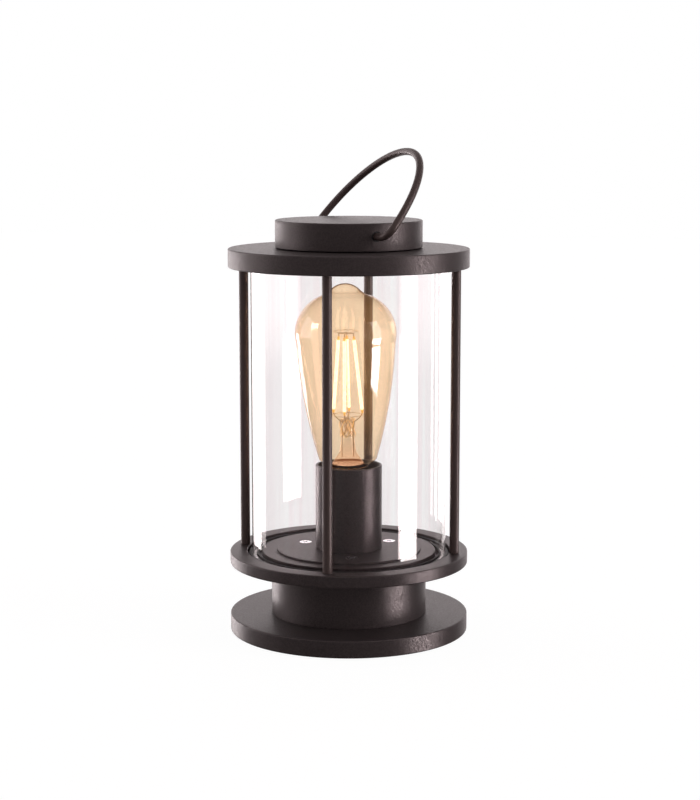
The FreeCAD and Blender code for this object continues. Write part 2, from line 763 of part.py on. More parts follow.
def plate_screws():
    """Three countersunk screws with crossed slots that hold the plate on the flange."""
    body = new_body("plate_screws")
    radius = size("plate_screw") / 2
    head = PLATE_TOP + 0.1
    screw = turned(body, "screw", [
        (0, FLANGE_LOW + 1.1), (radius, FLANGE_LOW + 1.1), (radius, head - 2.15), (radius * 2, head - 0.15),
        (radius * 2, head), (0, head),
    ], size("plate_screw_circle") / 2, azimuth=size("plate_turn"))
    slots = []
    for number, turn in enumerate((0, 90)):
        slots.append(slot_cut(body, f"slot_{number}", head, turn))
    repeated(body, "screws", [screw] + slots, LUGS)
    return body


def slot_cut(body, name, head, turn):
    """One bar of the crossed slot in a screw head, 1 mm wide and 1.2 mm deep."""
    long_half, short_half = (2.1, 0.5) if turn == 0 else (0.5, 2.1)
    azimuth = math.radians(DRIVING["plate_turn"])
    reach = DRIVING["plate_screw_circle"] / 2
    corners = []
    for along, across in ((1, 1), (-1, 1), (-1, -1), (1, -1)):
        out = reach + along * long_half
        side = across * short_half
        corners.append((out * math.cos(azimuth) - side * math.sin(azimuth),
                        out * math.sin(azimuth) + side * math.cos(azimuth)))
    return padded(body, name, corners, head - 1.2, 2.0, cut=True)


def socket_sleeve():
    """Open-topped tube round the lamp holder, with a floor that the nipple clamps."""
    return turned_body("socket_sleeve", [
        (NIPPLE_HOLE_R, PLATE_TOP), (SLEEVE_R, PLATE_TOP), (SLEEVE_R, SLEEVE_TOP),
        (SLEEVE_BORE_R, SLEEVE_TOP), (SLEEVE_BORE_R, HOLDER_LOW), (NIPPLE_HOLE_R, HOLDER_LOW),
    ])


def lampholder_body():
    """Moulded holder: a well for the screw shell over a terminal chamber and the nipple's seat."""
    well_r = size("shell_bore") / 2 + size("shell_sheet") + 0.1
    chamber_r = 8.0
    return turned_body("lampholder_body", [
        (NIPPLE_R + FREE, HOLDER_LOW), (HOLDER_R, HOLDER_LOW), (HOLDER_R, HOLDER_TOP - 0.8),
        (HOLDER_R - 0.8, HOLDER_TOP), (well_r, HOLDER_TOP), (well_r, HOLDER_DECK), (0, HOLDER_DECK),
        (0, HOLDER_DECK - 4), (chamber_r, HOLDER_DECK - 4), (chamber_r, HOLDER_LOW + 7),
        (NIPPLE_R + FREE, HOLDER_LOW + 7),
    ])


def holder_screw_shell():
    """Sheet brass shell that takes the bulb's cap."""
    inner = size("shell_bore") / 2
    return turned_body("holder_screw_shell", ring(inner, inner + size("shell_sheet"), HOLDER_DECK + 1.5,
                                                  HOLDER_TOP - 1.5))


def holder_centre_contact():
    """Sprung contact on the deck of the holder."""
    tip = CONTACT_Z - size("running_gap")
    return turned_body("holder_centre_contact", [
        (0, HOLDER_DECK), (4.5, HOLDER_DECK), (4.5, HOLDER_DECK + 0.7), (2.4, HOLDER_DECK + 1.1),
        (2.0, tip - 0.5), (1.4, tip), (0, tip),
    ])


def holder_nipple():
    """Threaded tube that clamps holder, sleeve and plate to the flange and lets the leads through."""
    return turned_body("holder_nipple", ring(size("nipple_bore") / 2, NIPPLE_R, NIPPLE_LOW, NIPPLE_HIGH))


def nipple_nut():
    """Hexagon nut on the nipple, beneath the flange."""
    body = new_body("nipple_nut")
    low = FLANGE_LOW - size("nut_height")
    padded(body, "hexagon", hexagon(as_size(14.0)), low, size("nut_height"))
    volume = body.Shape.Volume
    turned(body, "bore", hole(NIPPLE_R + FREE, low - 1, FLANGE_LOW + 1), cut=True)
    expect_change(body, volume, "bore")
    return body


def terminal_block():
    """Two-pole terminal block under the flange, with a fixing hole and a hole at each end of a pole."""
    body = new_body("terminal_block")
    low = FLANGE_LOW - BLOCK_HEIGHT
    padded(body, "block", square(0.0, (BLOCK_NEAR_Y + BLOCK_FAR_Y) / 2, 2 * BLOCK_HALF_WIDTH,
                                 BLOCK_FAR_Y - BLOCK_NEAR_Y), low, BLOCK_HEIGHT)
    volume = body.Shape.Volume
    turned(body, "fixing_hole", hole(TIE_R + 0.1, low - 1, FLANGE_LOW + 1), EARTH_Y, azimuth=90, cut=True)
    volume = expect_change(body, volume, "fixing hole")
    for number, pole in enumerate((-POLE_X - 4, POLE_X + 4)):
        padded(body, f"pole_screw_{number}", square(pole, EARTH_Y, 3.2, 3.2), low - 1, 4.0, cut=True)
    volume = expect_change(body, volume, "pole screws")
    for number, pole in enumerate((-POLE_X, POLE_X)):
        for end, middle in enumerate((BLOCK_NEAR_Y + 2, BLOCK_FAR_Y - 2)):
            padded(body, f"wire_hole_{number}_{end}", square(pole, middle, 3.0, 6.0), LEAD_LEVEL - 1.5, 3.0,
                   cut=True)
    expect_change(body, volume, "wire holes")
    return body


def earth_screw():
    """Pan-head screw through the block into the flange, which it earths."""
    body = new_body("earth_screw")
    low = FLANGE_LOW - BLOCK_HEIGHT
    turned(body, "screw", [
        (0, low - 2.4), (3.2, low - 2.4), (3.9, low - 1.6), (3.9, low), (TIE_R, low),
        (TIE_R, FLANGE_LOW + 4.5), (0, FLANGE_LOW + 4.5),
    ], EARTH_Y, azimuth=90)
    return body


def lead(label, side):
    """An insulated lead from its pole, along under the flange and up the nipple to the holder's chamber."""
    radius = DRIVING["lead_diameter"] / 2
    level = LEAD_LEVEL.number
    start = VECTOR(side * POLE_X, BLOCK_NEAR_Y + 4, level)
    corner = VECTOR(side * 1.6, 0, level)
    end = VECTOR(side * 1.6, 0, HOLDER_DECK.number - 4)
    first_run = corner - start
    bend = 0.45 * first_run.Length
    back = VECTOR(first_run).normalize()
    arc_start = corner - back * bend
    arc_end = corner + UP * bend
    centre = arc_start + UP * bend
    middle = centre + (back - UP) * (bend / math.sqrt(2))
    path = Part.Wire([
        Part.LineSegment(start, arc_start).toShape(),
        Part.Arc(arc_start, middle, arc_end).toShape(),
        Part.LineSegment(arc_end, end).toShape(),
    ])
    section = Part.Wire([Part.Circle(start, back, radius).toShape()])
    item = doc.addObject("Part::Feature", label)
    item.Shape = path.makePipeShell([section], True, False)
    item.Label = label
    expected = math.pi * radius ** 2 * path.Length
    print(f"{label}: bend {bend:.1f} mm, volume {item.Shape.Volume / expected:.3f} of section times length")
    return item


# ---------------------------------------------------------------------------
# Filament bulb. Heights here count from its centre contact, and the whole bulb leans a little in its holder.
# ---------------------------------------------------------------------------

BULB_NECK = (18.8, 31.5)
BULB_WAIST_HEIGHT = 107.0
BULB_SHOULDER = (16.5, 137.8)
BULB_DIP = (10.0, 141.3)
SIDE_BEND = 330.0
SHOULDER_BEND = 26.4
DIP_BEND = 16.0
FILAMENT_AZIMUTHS = (-89.0, 11.0, 94.0, 166.0)
FILAMENT_FOOT = (9.9, 61.5)
FILAMENT_HEAD = (5.1, 111.5)
STEM_TOP = 57.0


def lean():
    """The placement of everything on the bulb."""
    azimuth = math.radians(DRIVING["bulb_lean_azimuth"])
    axis = VECTOR(-math.sin(azimuth), math.cos(azimuth), 0)
    turn = FreeCAD.Rotation(axis, DRIVING["bulb_lean"])
    return FreeCAD.Placement(VECTOR(0, 0, CONTACT_Z.number), turn)


def on_bulb(item):
    """Put an object drawn about the bulb's own axis where the bulb is."""
    item.Placement = lean()
    return item


def bulb_envelope():
    """Blown glass: a tapering body, a round shoulder and a small dome."""
    wall = size("bulb_glass")
    waist_r = size("bulb_radius")
    length = size("bulb_length")
    rim = size("cap_length") + 0.1
    glass_foot = size("cap_radius") - size("cap_sheet") - 0.1
    outside = [
        (glass_foot, rim - 4), (glass_foot, rim), (BULB_NECK[0], BULB_NECK[1]),
        (waist_r, BULB_WAIST_HEIGHT, SIDE_BEND), (BULB_SHOULDER[0], BULB_SHOULDER[1], SHOULDER_BEND),
        (BULB_DIP[0], BULB_DIP[1], -DIP_BEND), (0, length, dome_bend(length)),
    ]
    shoulder = points_on_arc(BULB_SHOULDER, (waist_r.number, BULB_WAIST_HEIGHT), -SHOULDER_BEND, 6)
    side = points_on_arc((waist_r.number, BULB_WAIST_HEIGHT), BULB_NECK, -SIDE_BEND, 3)
    inside = [
        (0, length - wall), (BULB_DIP[0] * 0.5, length - wall * 2), (BULB_DIP[0] - 1, -wall + BULB_DIP[1]),
    ]
    for across, along in shoulder + side[1:]:
        level = wall * ((along - BULB_WAIST_HEIGHT) / 40)
        inside.append((-wall + across, -level + along))
    inside += [(glass_foot - wall, rim), (glass_foot - wall, rim - 4)]
    return on_bulb(turned_body("bulb_envelope", outside + inside))


def points_on_arc(start, end, bend, pieces):
    """Points at equal steps along an arc, its two ends included."""
    arc = arc_between(VECTOR(*start, 0), VECTOR(*end, 0), bend)
    points = [(point.x, point.y) for point in arc.toShape().discretize(pieces + 1)]
    return points if bend > 0 else points[::-1]


def dome_bend(length):
    """The radius of the arc that is level at the bulb's tip and ends where the dip begins."""
    half = BULB_DIP[0]
    rise = length.number - BULB_DIP[1]
    return (half * half + rise * rise) / (2 * rise)


def bulb_cap():
    """Sheet metal screw cap, tapering to its insulator."""
    outer = size("cap_radius")
    sheet_thickness = size("cap_sheet")
    inner = outer - sheet_thickness
    high = size("cap_length")
    return on_bulb(turned_body("bulb_cap", [
        (9.0, 4.6), (outer, 8.0), (outer, high), (inner, high), (inner, sheet_thickness + 8.0), (9.0, 5.1),
    ]))


def bulb_insulator():
    """Black glass cone between the cap and the contact."""
    return on_bulb(turned_body("bulb_insulator", [
        (0, 1.2), (4.9, 1.2), (6.2, 2.0), (9.0, 4.6), (9.0, 5.1), (8.0, 5.8), (0, 5.8),
    ]))


def bulb_contact():
    """Soldered button at the foot of the bulb."""
    return on_bulb(turned_body("bulb_contact", [(0, 0), (2.6, 0.1), (4.6, 0.7), (4.8, 1.2), (0, 1.2)]))


def bulb_driver_board():
    """Round circuit board with its reservoir capacitor, inside the cap."""
    body = new_body("bulb_driver_board")
    turned(body, "board", hole(11.0, 12.0, 13.2))
    turned(body, "capacitor", hole(3.2, 13.0, 22.0), 4.0)
    return on_bulb(body)


def bulb_stem():
    """Glass stem: a flare sealed in the neck, a tube, a pinch and the thin post between the filaments."""
    return on_bulb(turned_body("bulb_stem", [
        (0, 28.5), (10.5, 28.5), (9.6, 29.6), (5.6, 34.0), (4.3, 40.0), (4.1, 50.0), (4.4, 53.0),
        (3.6, STEM_TOP), (0.8, STEM_TOP + 1.2), (0.8, 114.0), (0, 114.6),
    ]))


def bar_between(name, start, end, radius):
    """A round bar between two places on the bulb, as an object of its own."""
    bar = doc.addObject("Part::Cylinder", name)
    bind(bar, "Radius", radius)
    run = end - start
    bar.Height = run.Length
    turn = FreeCAD.Rotation(UP, run)
    bar.Placement = lean().multiply(FreeCAD.Placement(start, turn))
    return bar


def polar(place, azimuth):
    """A place on the bulb given by (radius, height) and an azimuth."""
    radius, height = place
    angle = math.radians(azimuth)
    return VECTOR(radius * math.cos(angle), radius * math.sin(angle), height)


def gathered(label, items):
    """Several objects kept as one sub-part of separate solids."""
    group = doc.addObject("Part::Compound", label)
    group.Label = label
    group.Links = items
    return group


def bulb_filaments():
    """Four straight filaments that splay towards the stem."""
    bars = []
    for number, azimuth in enumerate(FILAMENT_AZIMUTHS):
        foot = polar(FILAMENT_FOOT, azimuth)
        head = polar(FILAMENT_HEAD, azimuth)
        bars.append(bar_between(f"filament_{number}", foot, head, size("filament_diameter") / 2))
    return gathered("bulb_filaments", bars)


def bulb_support_wires():
    """Wires from the pinch to the foot of each filament and from the post to each head."""
    radius = size("support_wire") / 2
    bars = []
    for number, azimuth in enumerate(FILAMENT_AZIMUTHS):
        foot = polar(FILAMENT_FOOT, azimuth)
        head = polar(FILAMENT_HEAD, azimuth)
        pinch = polar((3.9, STEM_TOP - 1.5), azimuth)
        post = polar((1.0, 113.6), azimuth)
        bars.append(bar_between(f"foot_wire_{number}", pinch, foot, radius))
        bars.append(bar_between(f"head_wire_{number}", post, head, radius))
    return gathered("bulb_support_wires", bars)


# ---------------------------------------------------------------------------
# Lid, bayonet ring, seal and bail. They are drawn with the pivot of the bail along X and turned about Z.
# ---------------------------------------------------------------------------

def on_lid(body):
    """Turn a body drawn with the bail's pivot along X to where the lid is closed."""
    turn = size("lid_turn")
    body.Placement = FreeCAD.Placement(VECTOR(0, 0, 0), FreeCAD.Rotation(UP, turn.number))
    body.setExpression(".Placement.Rotation.Angle", turn.text)
    return body


def lid_shell():
    """Turned cap with three screw bosses under its roof and two holes for the bail."""
    body = turned_body("lid_shell", [
        (LID_BORE_R, LID_LOW), (LID_R, LID_LOW), (LID_R, LID_TOP - EDGE), (LID_R - EDGE, LID_TOP),
        (0, LID_TOP), (0, LID_CEILING), (LID_BORE_R, LID_CEILING),
    ])
    boss = turned(body, "boss", hole(4.0, RING_HIGH, LID_CEILING + 0.5), BOSS_CIRCLE_R, azimuth=30)
    tapped = turned(body, "boss_hole", hole(1.55, RING_HIGH - 1, RING_HIGH + 8), BOSS_CIRCLE_R, azimuth=30,
                    cut=True)
    repeated(body, "bosses", [boss, tapped], LUGS)
    volume = body.Shape.Volume
    pivot = turned(body, "pivot_hole", [
        (LID_BORE_R - 2, 0), (LID_R + 2, 0), (LID_R + 2, BUSH_R + FREE), (LID_BORE_R - 2, BUSH_R + FREE),
    ], PIVOT_Z, lying=True, cut=True)
    repeated(body, "pivot_holes", [pivot], 2)
    expect_change(body, volume, "pivot holes")
    return on_lid(body)


def bayonet_ring():
    """Ring screwed under the lid; its spigot passes the ledge and its three lugs catch beneath it."""
    inner = 25.5
    body = turned_body("bayonet_ring", [
        (inner, RING_LOW), (SPIGOT_BORE_R, RING_LOW), (SPIGOT_BORE_R, SPIGOT_LOW), (SPIGOT_R, SPIGOT_LOW),
        (SPIGOT_R, RING_LOW), (LID_BORE_R - 0.3, RING_LOW), (LID_BORE_R - 0.3, RING_HIGH), (inner, RING_HIGH),
    ])
    volume = body.Shape.Volume
    lug = turned(body, "lug", ring(SPIGOT_R - 0.3, LUG_R, LUG_LOW, LUG_TOP), azimuth=-size("lid_turn"),
                 sweep=size("lug_width"))
    repeated(body, "lugs", [lug], LUGS)
    volume = expect_change(body, volume, "lugs")
    screw_hole = turned(body, "screw_hole", hole(1.7, RING_LOW - 1, RING_HIGH + 1), BOSS_CIRCLE_R, azimuth=30,
                        cut=True)
    repeated(body, "screw_holes", [screw_hole], LUGS)
    expect_change(body, volume, "screw holes")
    return on_lid(body)


def bayonet_screws():
    """Three pan-head screws that hold the ring under the lid."""
    body = new_body("bayonet_screws")
    screw = turned(body, "screw", [
        (0, RING_LOW - 2), (2.2, RING_LOW - 2), (2.75, RING_LOW - 1.4), (2.75, RING_LOW), (1.5, RING_LOW),
        (1.5, RING_HIGH + 7), (0, RING_HIGH + 7),
    ], BOSS_CIRCLE_R, azimuth=30)
    repeated(body, "screws", [screw], LUGS)
    return on_lid(body)


def lid_seal():
    """Flat silicone ring between the bayonet ring and the top disc."""
    return on_lid(turned_body("lid_seal", ring(LEDGE_R + 1.0, LID_BORE_R - 0.9, TOP_TOP + size("running_gap"),
                                               RING_LOW)))


def pivot_rings(label, points):
    """Two equal turned pieces on the pivot, one at each end."""
    body = new_body(label)
    piece = turned(body, "piece", points, PIVOT_Z, lying=True)
    repeated(body, "pair", [piece], 2)
    return on_lid(body)


def bail_bushes():
    """Plastic bushes in the lid's wall, flanged on the inside."""
    inside = LID_BORE_R - 1.3
    flange = LID_BORE_R - 0.3
    outside = LID_R - 0.2
    return pivot_rings("bail_bushes", [
        (inside, WIRE_HOLE_R), (outside, WIRE_HOLE_R), (outside, BUSH_R), (flange, BUSH_R), (flange, 4.6),
        (inside, 4.6),
    ])


def bail_spring_washers():
    """Wave washers, drawn flat, that press the bail's clips off the bushes and give it its friction."""
    low = CLIP_HIGH + 0.1
    high = LID_BORE_R - 1.35
    hole_r = WIRE_HOLE_R + 0.05
    return pivot_rings("bail_spring_washers", [(low, hole_r), (high, hole_r), (high, 4.4), (low, 4.4)])


def bail_frame(body):
    """Set a body drawn about the pivot, with its loop upwards, on the lid and lean it as it stands."""
    turn = FreeCAD.Rotation(UP, DRIVING["lid_turn"])
    tilt = FreeCAD.Rotation(VECTOR(1, 0, 0), -DRIVING["bail_lean"])
    body.Placement = FreeCAD.Placement(VECTOR(0, 0, PIVOT_Z.number), turn.multiply(tilt))
    body.setExpression(".Placement.Base.z", PIVOT_Z.text)
    return body


def swept_arc(body, name, radius, pivot, sweep, out=0.0, middle=False):
    """A round wire bent to an arc about a level axis along Y, from the lowest or about the highest point.

    The arc's centre is at distance out along X and at the height pivot. A negative sweep turns towards -X.
    """
    sketch = new_sketch(body, name, "YZ_Plane", offset=as_size(out))
    top = 1 if middle else -1
    height = pivot + radius * top
    centre = VECTOR(0, height.number, 0)
    circle = sketch.addGeometry(Part.Circle(centre, UP, WIRE_R.number), False)
    pin_point(sketch, circle, 3, as_size(0), height)
    bind_constraint(sketch, "Radius", (circle,), WIRE_R)
    ends = (VECTOR(0, pivot.number, 0), VECTOR(10, pivot.number, 0))
    line = sketch.addGeometry(Part.LineSegment(*ends), True)
    pin_point(sketch, line, 1, as_size(0), pivot)
    pin_point(sketch, line, 2, as_size(10), pivot)
    feature = body.newObject("PartDesign::Revolution", f"{body.Label}_{name}")
    feature.Profile = sketch
    feature.ReferenceAxis = (sketch, ["Axis0"])
    feature.Angle = abs(sweep)
    feature.Midplane = middle
    feature.Reversed = sweep > 0
    doc.recompute()
    return feature


def bail():
    """Round wire bent to a half circle, its ends turned in through the lid and grooved for their clips."""
    body = new_body("bail")
    radius = size("bail_radius")
    rise = size("bail_rise")
    bend = size("bail_bend")
    end = size("bail_end")
    reach = radius - bend
    drop = (bend - rise).number
    bend_out = Size(math.sqrt(reach.number ** 2 - drop ** 2),
                    f"sqrt({reach.text} * {reach.text} - {(bend - rise).text} * {(bend - rise).text})")
    slope = math.degrees(math.asin(drop / reach.number))
    swept_arc(body, "loop", radius, rise, 180 - 2 * slope, middle=True)
    for side, name in ((1, "right"), (-1, "left")):
        swept_arc(body, f"bend_{name}", bend, bend, side * (90 + slope), bend_out * side)
        turned(body, f"end_{name}", [
            (end * side, 0), (bend_out * side, 0), (bend_out * side, WIRE_R),
            ((CLIP_HIGH + 0.1) * side, WIRE_R), ((CLIP_HIGH + 0.1) * side, WIRE_R - 0.5),
            (CLIP_LOW * side, WIRE_R - 0.5), (CLIP_LOW * side, WIRE_R), (end * side, WIRE_R),
        ], lying=True)
    loop = math.pi * WIRE_R.number ** 2 * (radius.number * math.radians(180 - 2 * slope)
                                          + 2 * bend.number * math.radians(90 + slope)
                                          + 2 * (bend_out.number - end.number))
    if abs(body.Shape.Volume / loop - 1) > 0.01:
        raise RuntimeError(f"bail: {body.Shape.Volume:.0f} mm3 in place of {loop:.0f}")
    return bail_frame(body)


def bail_clips():
    """Retaining clips in the grooves of the bail, each open at one side."""
    body = new_body("bail_clips")
    inner = WIRE_R - 0.45
    for number, side in enumerate((1, -1)):
        low = (CLIP_LOW + 0.1) * side
        high = CLIP_HIGH * side
        turned(body, f"clip_{number}", [(low, inner), (high, inner), (high, 4.3), (low, 4.3)], lying=True)
    half = as_size(1.3)
    reach = CLIP_HIGH + 1
    volume = body.Shape.Volume
    corners = [(-reach, -half), (reach, -half), (reach, half), (-reach, half)]
    padded(body, "mouth", corners, 0.6, 6.0, cut=True)
    expect_change(body, volume, "mouth")
    return bail_frame(body)


# ---------------------------------------------------------------------------
# Build, check and write
# ---------------------------------------------------------------------------

parts = [
    base_disc(),
    rubber_feet(),
    neck_drum(),
    neck_tie_screws(),
    inlet_body(),
    inlet_seal(),
    inlet_cap_nut(),
    inlet_locknut(),
    flange_disc(),
    lower_glass_gasket(),
    glass_cylinder(),
    upper_glass_gasket(),
    top_disc(),
]
for quarter, name in enumerate(("rod_right", "rod_back", "rod_left", "rod_front")):
    parts.append(cage_rod(name, 90 * quarter))
parts += [
    rod_screws(),
    holder_plate(),
    plate_screws(),
    socket_sleeve(),
    lampholder_body(),
    holder_screw_shell(),
    holder_centre_contact(),
    holder_nipple(),
    nipple_nut(),
    terminal_block(),
    earth_screw(),
    lead("live_lead", -1),
    lead("neutral_lead", 1),
    bulb_envelope(),
    bulb_cap(),
    bulb_insulator(),
    bulb_contact(),
    bulb_driver_board(),
    bulb_stem(),
    bulb_filaments(),
    bulb_support_wires(),
    lid_shell(),
    bayonet_ring(),
    bayonet_screws(),
    lid_seal(),
    bail_bushes(),
    bail_spring_washers(),
    bail(),
    bail_clips(),
]
doc.recompute()

for item in doc.Objects:
    if "Invalid" in item.State or "Error" in item.State:
        raise RuntimeError(f"{item.Name}: {item.State}")

for part in parts:
    shape = part.Shape
    if shape.isNull() or not shape.isValid() or not shape.Solids:
        raise RuntimeError(f"{part.Label}: no valid solid")
    shape.exportStep(os.path.join("parts", f"{part.Label}.step"))
    box = shape.BoundBox
    print(f"{part.Label}: {len(shape.Solids)} solid(s), volume {shape.Volume / 1000:.2f} cm3, "
          f"z {box.ZMin:.2f} to {box.ZMax:.2f}")
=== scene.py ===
"""Looks of a lantern table lamp: a filament bulb in a caged glass cylinder on a drum base, with a lid and a bail.

Lengths in the classes are millimetres; meshes are made in metres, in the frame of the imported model.
"""

import logging
import math
from collections.abc import Callable, Iterable, Sequence
from dataclasses import dataclass, field
from enum import Enum

import bmesh
import bpy
from mathutils import Matrix, Vector


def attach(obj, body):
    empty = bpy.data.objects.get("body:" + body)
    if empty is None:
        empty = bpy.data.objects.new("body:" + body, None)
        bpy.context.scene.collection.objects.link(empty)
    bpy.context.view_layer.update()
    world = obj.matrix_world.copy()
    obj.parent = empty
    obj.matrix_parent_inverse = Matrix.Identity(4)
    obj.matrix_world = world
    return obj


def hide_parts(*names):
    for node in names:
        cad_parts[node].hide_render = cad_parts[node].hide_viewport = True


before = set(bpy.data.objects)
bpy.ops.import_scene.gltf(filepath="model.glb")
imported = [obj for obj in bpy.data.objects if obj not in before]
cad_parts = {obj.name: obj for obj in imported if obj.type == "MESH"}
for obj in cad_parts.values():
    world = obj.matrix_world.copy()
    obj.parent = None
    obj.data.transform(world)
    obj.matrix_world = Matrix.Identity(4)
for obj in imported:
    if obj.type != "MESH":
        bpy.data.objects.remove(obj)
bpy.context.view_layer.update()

LOG = logging.getLogger("lantern")
MM = 0.001
Colour = tuple[float, float, float]
Profile = list[tuple[float, float]]
Material = bpy.types.Material
Socket = bpy.types.NodeSocket
Thing = bpy.types.Object

# Welds points that are closer, in metres
WELD = 1e-7
# Edges above this angle stay sharp, in degrees
SHARP = 32.0
# A turned piece with so many steps round is large, and gets rings that keep its edge wear and painted edge highlight
# narrow
LARGE = 160
# Pitch of the rolled thread in the bulb's cap and in the screw shell
PITCH = 3.63
# Circle of the plate's screws and bearing of the first
PLATE_SCREWS = (32.0, -75.7)
# Bearing and height of the bail's hinge in the lid
HINGE = (-57.6, 260.1)


class Body(Enum):
    """The rigid bodies of the lamp."""

    LAMP = "lamp"
    BULB = "bulb"
    LID = "lid"
    BAIL = "bail"


class Slot(Enum):
    """The names of the record's material slots."""

    CASTING = "coated_casting"
    STEEL = "coated_steel"
    CAGE_GLASS = "cage_glass"
    BULB_GLASS = "bulb_glass"
    STEM_GLASS = "stem_glass"
    CAP = "cap_metal"
    BRASS = "brass_sheet"
    PLASTIC = "black_plastic"
    FILAMENT = "filament_phosphor"
    WIRE = "wire_metal"


# ---------------------------------------------------------------------------
# Finishes
# ---------------------------------------------------------------------------


class Nodes:
    """A node tree, with short calls to add and join its nodes."""

    def __init__(self, tree: bpy.types.NodeTree) -> None:
        """Start with an empty tree.

        Args:
            tree: The tree to fill.
        """
        self.nodes, self.links = tree.nodes, tree.links
        self.nodes.clear()

    def add(self, kind: str, values: dict[str, object] | None = None, **attributes: object) -> bpy.types.Node:
        """Add a node.

        Args:
            kind: The node's type without its common prefix.
            values: Input names or numbers, with a constant or an output socket to join.
            attributes: Settings of the node itself.

        Returns:
            The new node.
        """
        node = self.nodes.new(f"ShaderNode{kind}")
        for name, value in attributes.items():
            setattr(node, name, value)
        for name, value in (values or {}).items():
            socket = node.inputs[int(name)] if name.isdigit() else node.inputs[name]
            if isinstance(value, Socket):
                self.links.new(value, socket)
            else:
                socket.default_value = value
        return node

    def math(self, operation: str, first: Socket | float, second: Socket | float) -> Socket:
        """Two values combined by a math operation."""
        return self.add("Math", {"0": first, "1": second}, operation=operation).outputs[0]

    def ramp(self, value: Socket, low: float, high: float, out_low: float, out_high: float,
             way: str = "LINEAR") -> Socket:
        """Map a value from one range to another, held at the ends."""
        values = {"Value": value, "From Min": low, "From Max": high, "To Min": out_low, "To Max": out_high}
        return self.add("MapRange", values, interpolation_type=way).outputs["Result"]


class Tree(Nodes):
    """The node tree of one material."""

    def __init__(self, name: str) -> None:
        """Start an empty material.

        Args:
            name: The material's name.
        """
        self.material = bpy.data.materials.new(name)
        self.material.use_nodes = True
        super().__init__(self.material.node_tree)
        self.output = self.nodes.new("ShaderNodeOutputMaterial")

    def place(self) -> Socket:
        """The object coordinates, which are the lamp's own metres."""
        return self.add("TexCoord").outputs["Object"]

    def noise(self, size_mm: float, detail: float = 3.0, roughness: float = 0.5, upright: float = 1.0) -> Socket:
        """A noise value whose blotches are about size_mm wide, and upright times as tall.

        Args:
            size_mm: About how wide the blotches are.
            detail: How many finer layers it has.
            roughness: How strong the finer layers are.
            upright: How many times taller than wide the blotches are.

        Returns:
            The value.
        """
        place = self.add("VectorMath", {"0": self.place(), "1": (1.0, 1.0, 1 / upright)}, operation="MULTIPLY")
        values = {"Vector": place.outputs[0], "Scale": 1 / (size_mm * MM), "Detail": detail,
                  "Roughness": roughness}
        return self.add("TexNoise", values).outputs["Fac"]

    def facing(self) -> Socket:
        """How far a surface turns away from the ray, from 0 face on to 1 edge on."""
        return self.add("LayerWeight", {"Blend": 0.5}).outputs["Facing"]

    def film(self, tint: Socket, share: Socket, rough: Socket, normal: Socket) -> Socket:
        """A clear tinted skin of glass that mirrors a share of the light.

        Args:
            tint: Colour of what shows through.
            share: How much it mirrors, from 0 to 1.
            rough: Roughness of the mirroring.
            normal: Its bumped normal.

        Returns:
            The shader.
        """
        clear = self.add("BsdfTransparent", {"Color": tint})
        mirror = self.add("BsdfPrincipled", {
            "Base Color": (1.0, 0.985, 0.97, 1.0), "Metallic": 1.0, "Roughness": rough, "Normal": normal,
        })
        return self.add("MixShader", {"Fac": share, "1": clear.outputs[0], "2": mirror.outputs[0]}).outputs[0]

    def blend(self, share: Socket | float, first: object, second: object) -> Socket:
        """Mix two colours by a share from 0 to 1.

        Args:
            share: How much of the second colour, from 0 to 1.
            first: A colour or an output socket.
            second: Another.

        Returns:
            The mixed colour.
        """
        node = self.nodes.new("ShaderNodeMix")
        node.data_type = "RGBA"
        for index, value in ((0, share), (6, first), (7, second)):
            if isinstance(value, Socket):
                self.links.new(value, node.inputs[index])
            elif isinstance(value, tuple):
                node.inputs[index].default_value = (*value, 1.0)
            else:
                node.inputs[index].default_value = value
        return node.outputs[2]

    def bump(self, height: Socket, depth_mm: float, strength: float = 1.0) -> Socket:
        """A bumped normal from a height of that depth."""
        values = {"Height": height, "Distance": depth_mm * MM, "Strength": strength}
        return self.add("Bump", values).outputs["Normal"]

    def edges(self, sharp: float = 0.52, full: float = 0.60) -> Socket:
        """How strongly a place is an outward edge, from 0 to 1."""
        return self.ramp(self.add("NewGeometry").outputs["Pointiness"], sharp, full, 0.0, 1.0)

    def opaque(self, colour: object, rough: object, normal: Socket, **more: object) -> Material:
        """Show an opaque surface.

        Args:
            colour: Its base colour.
            rough: Its roughness.
            normal: Its bumped normal.
            more: Further inputs, with _ for the blanks in their names.

        Returns:
            The material.
        """
        values = {"Base Color": colour, "Roughness": rough, "Normal": normal}
        values |= {name.replace("_", " "): value for name, value in more.items()}
        return self.done(self.add("BsdfPrincipled", values).outputs[0])

    def done(self, shader: Socket) -> Material:
        """Show a shader and hand the material out."""
        self.links.new(shader, self.output.inputs["Surface"])
        return self.material


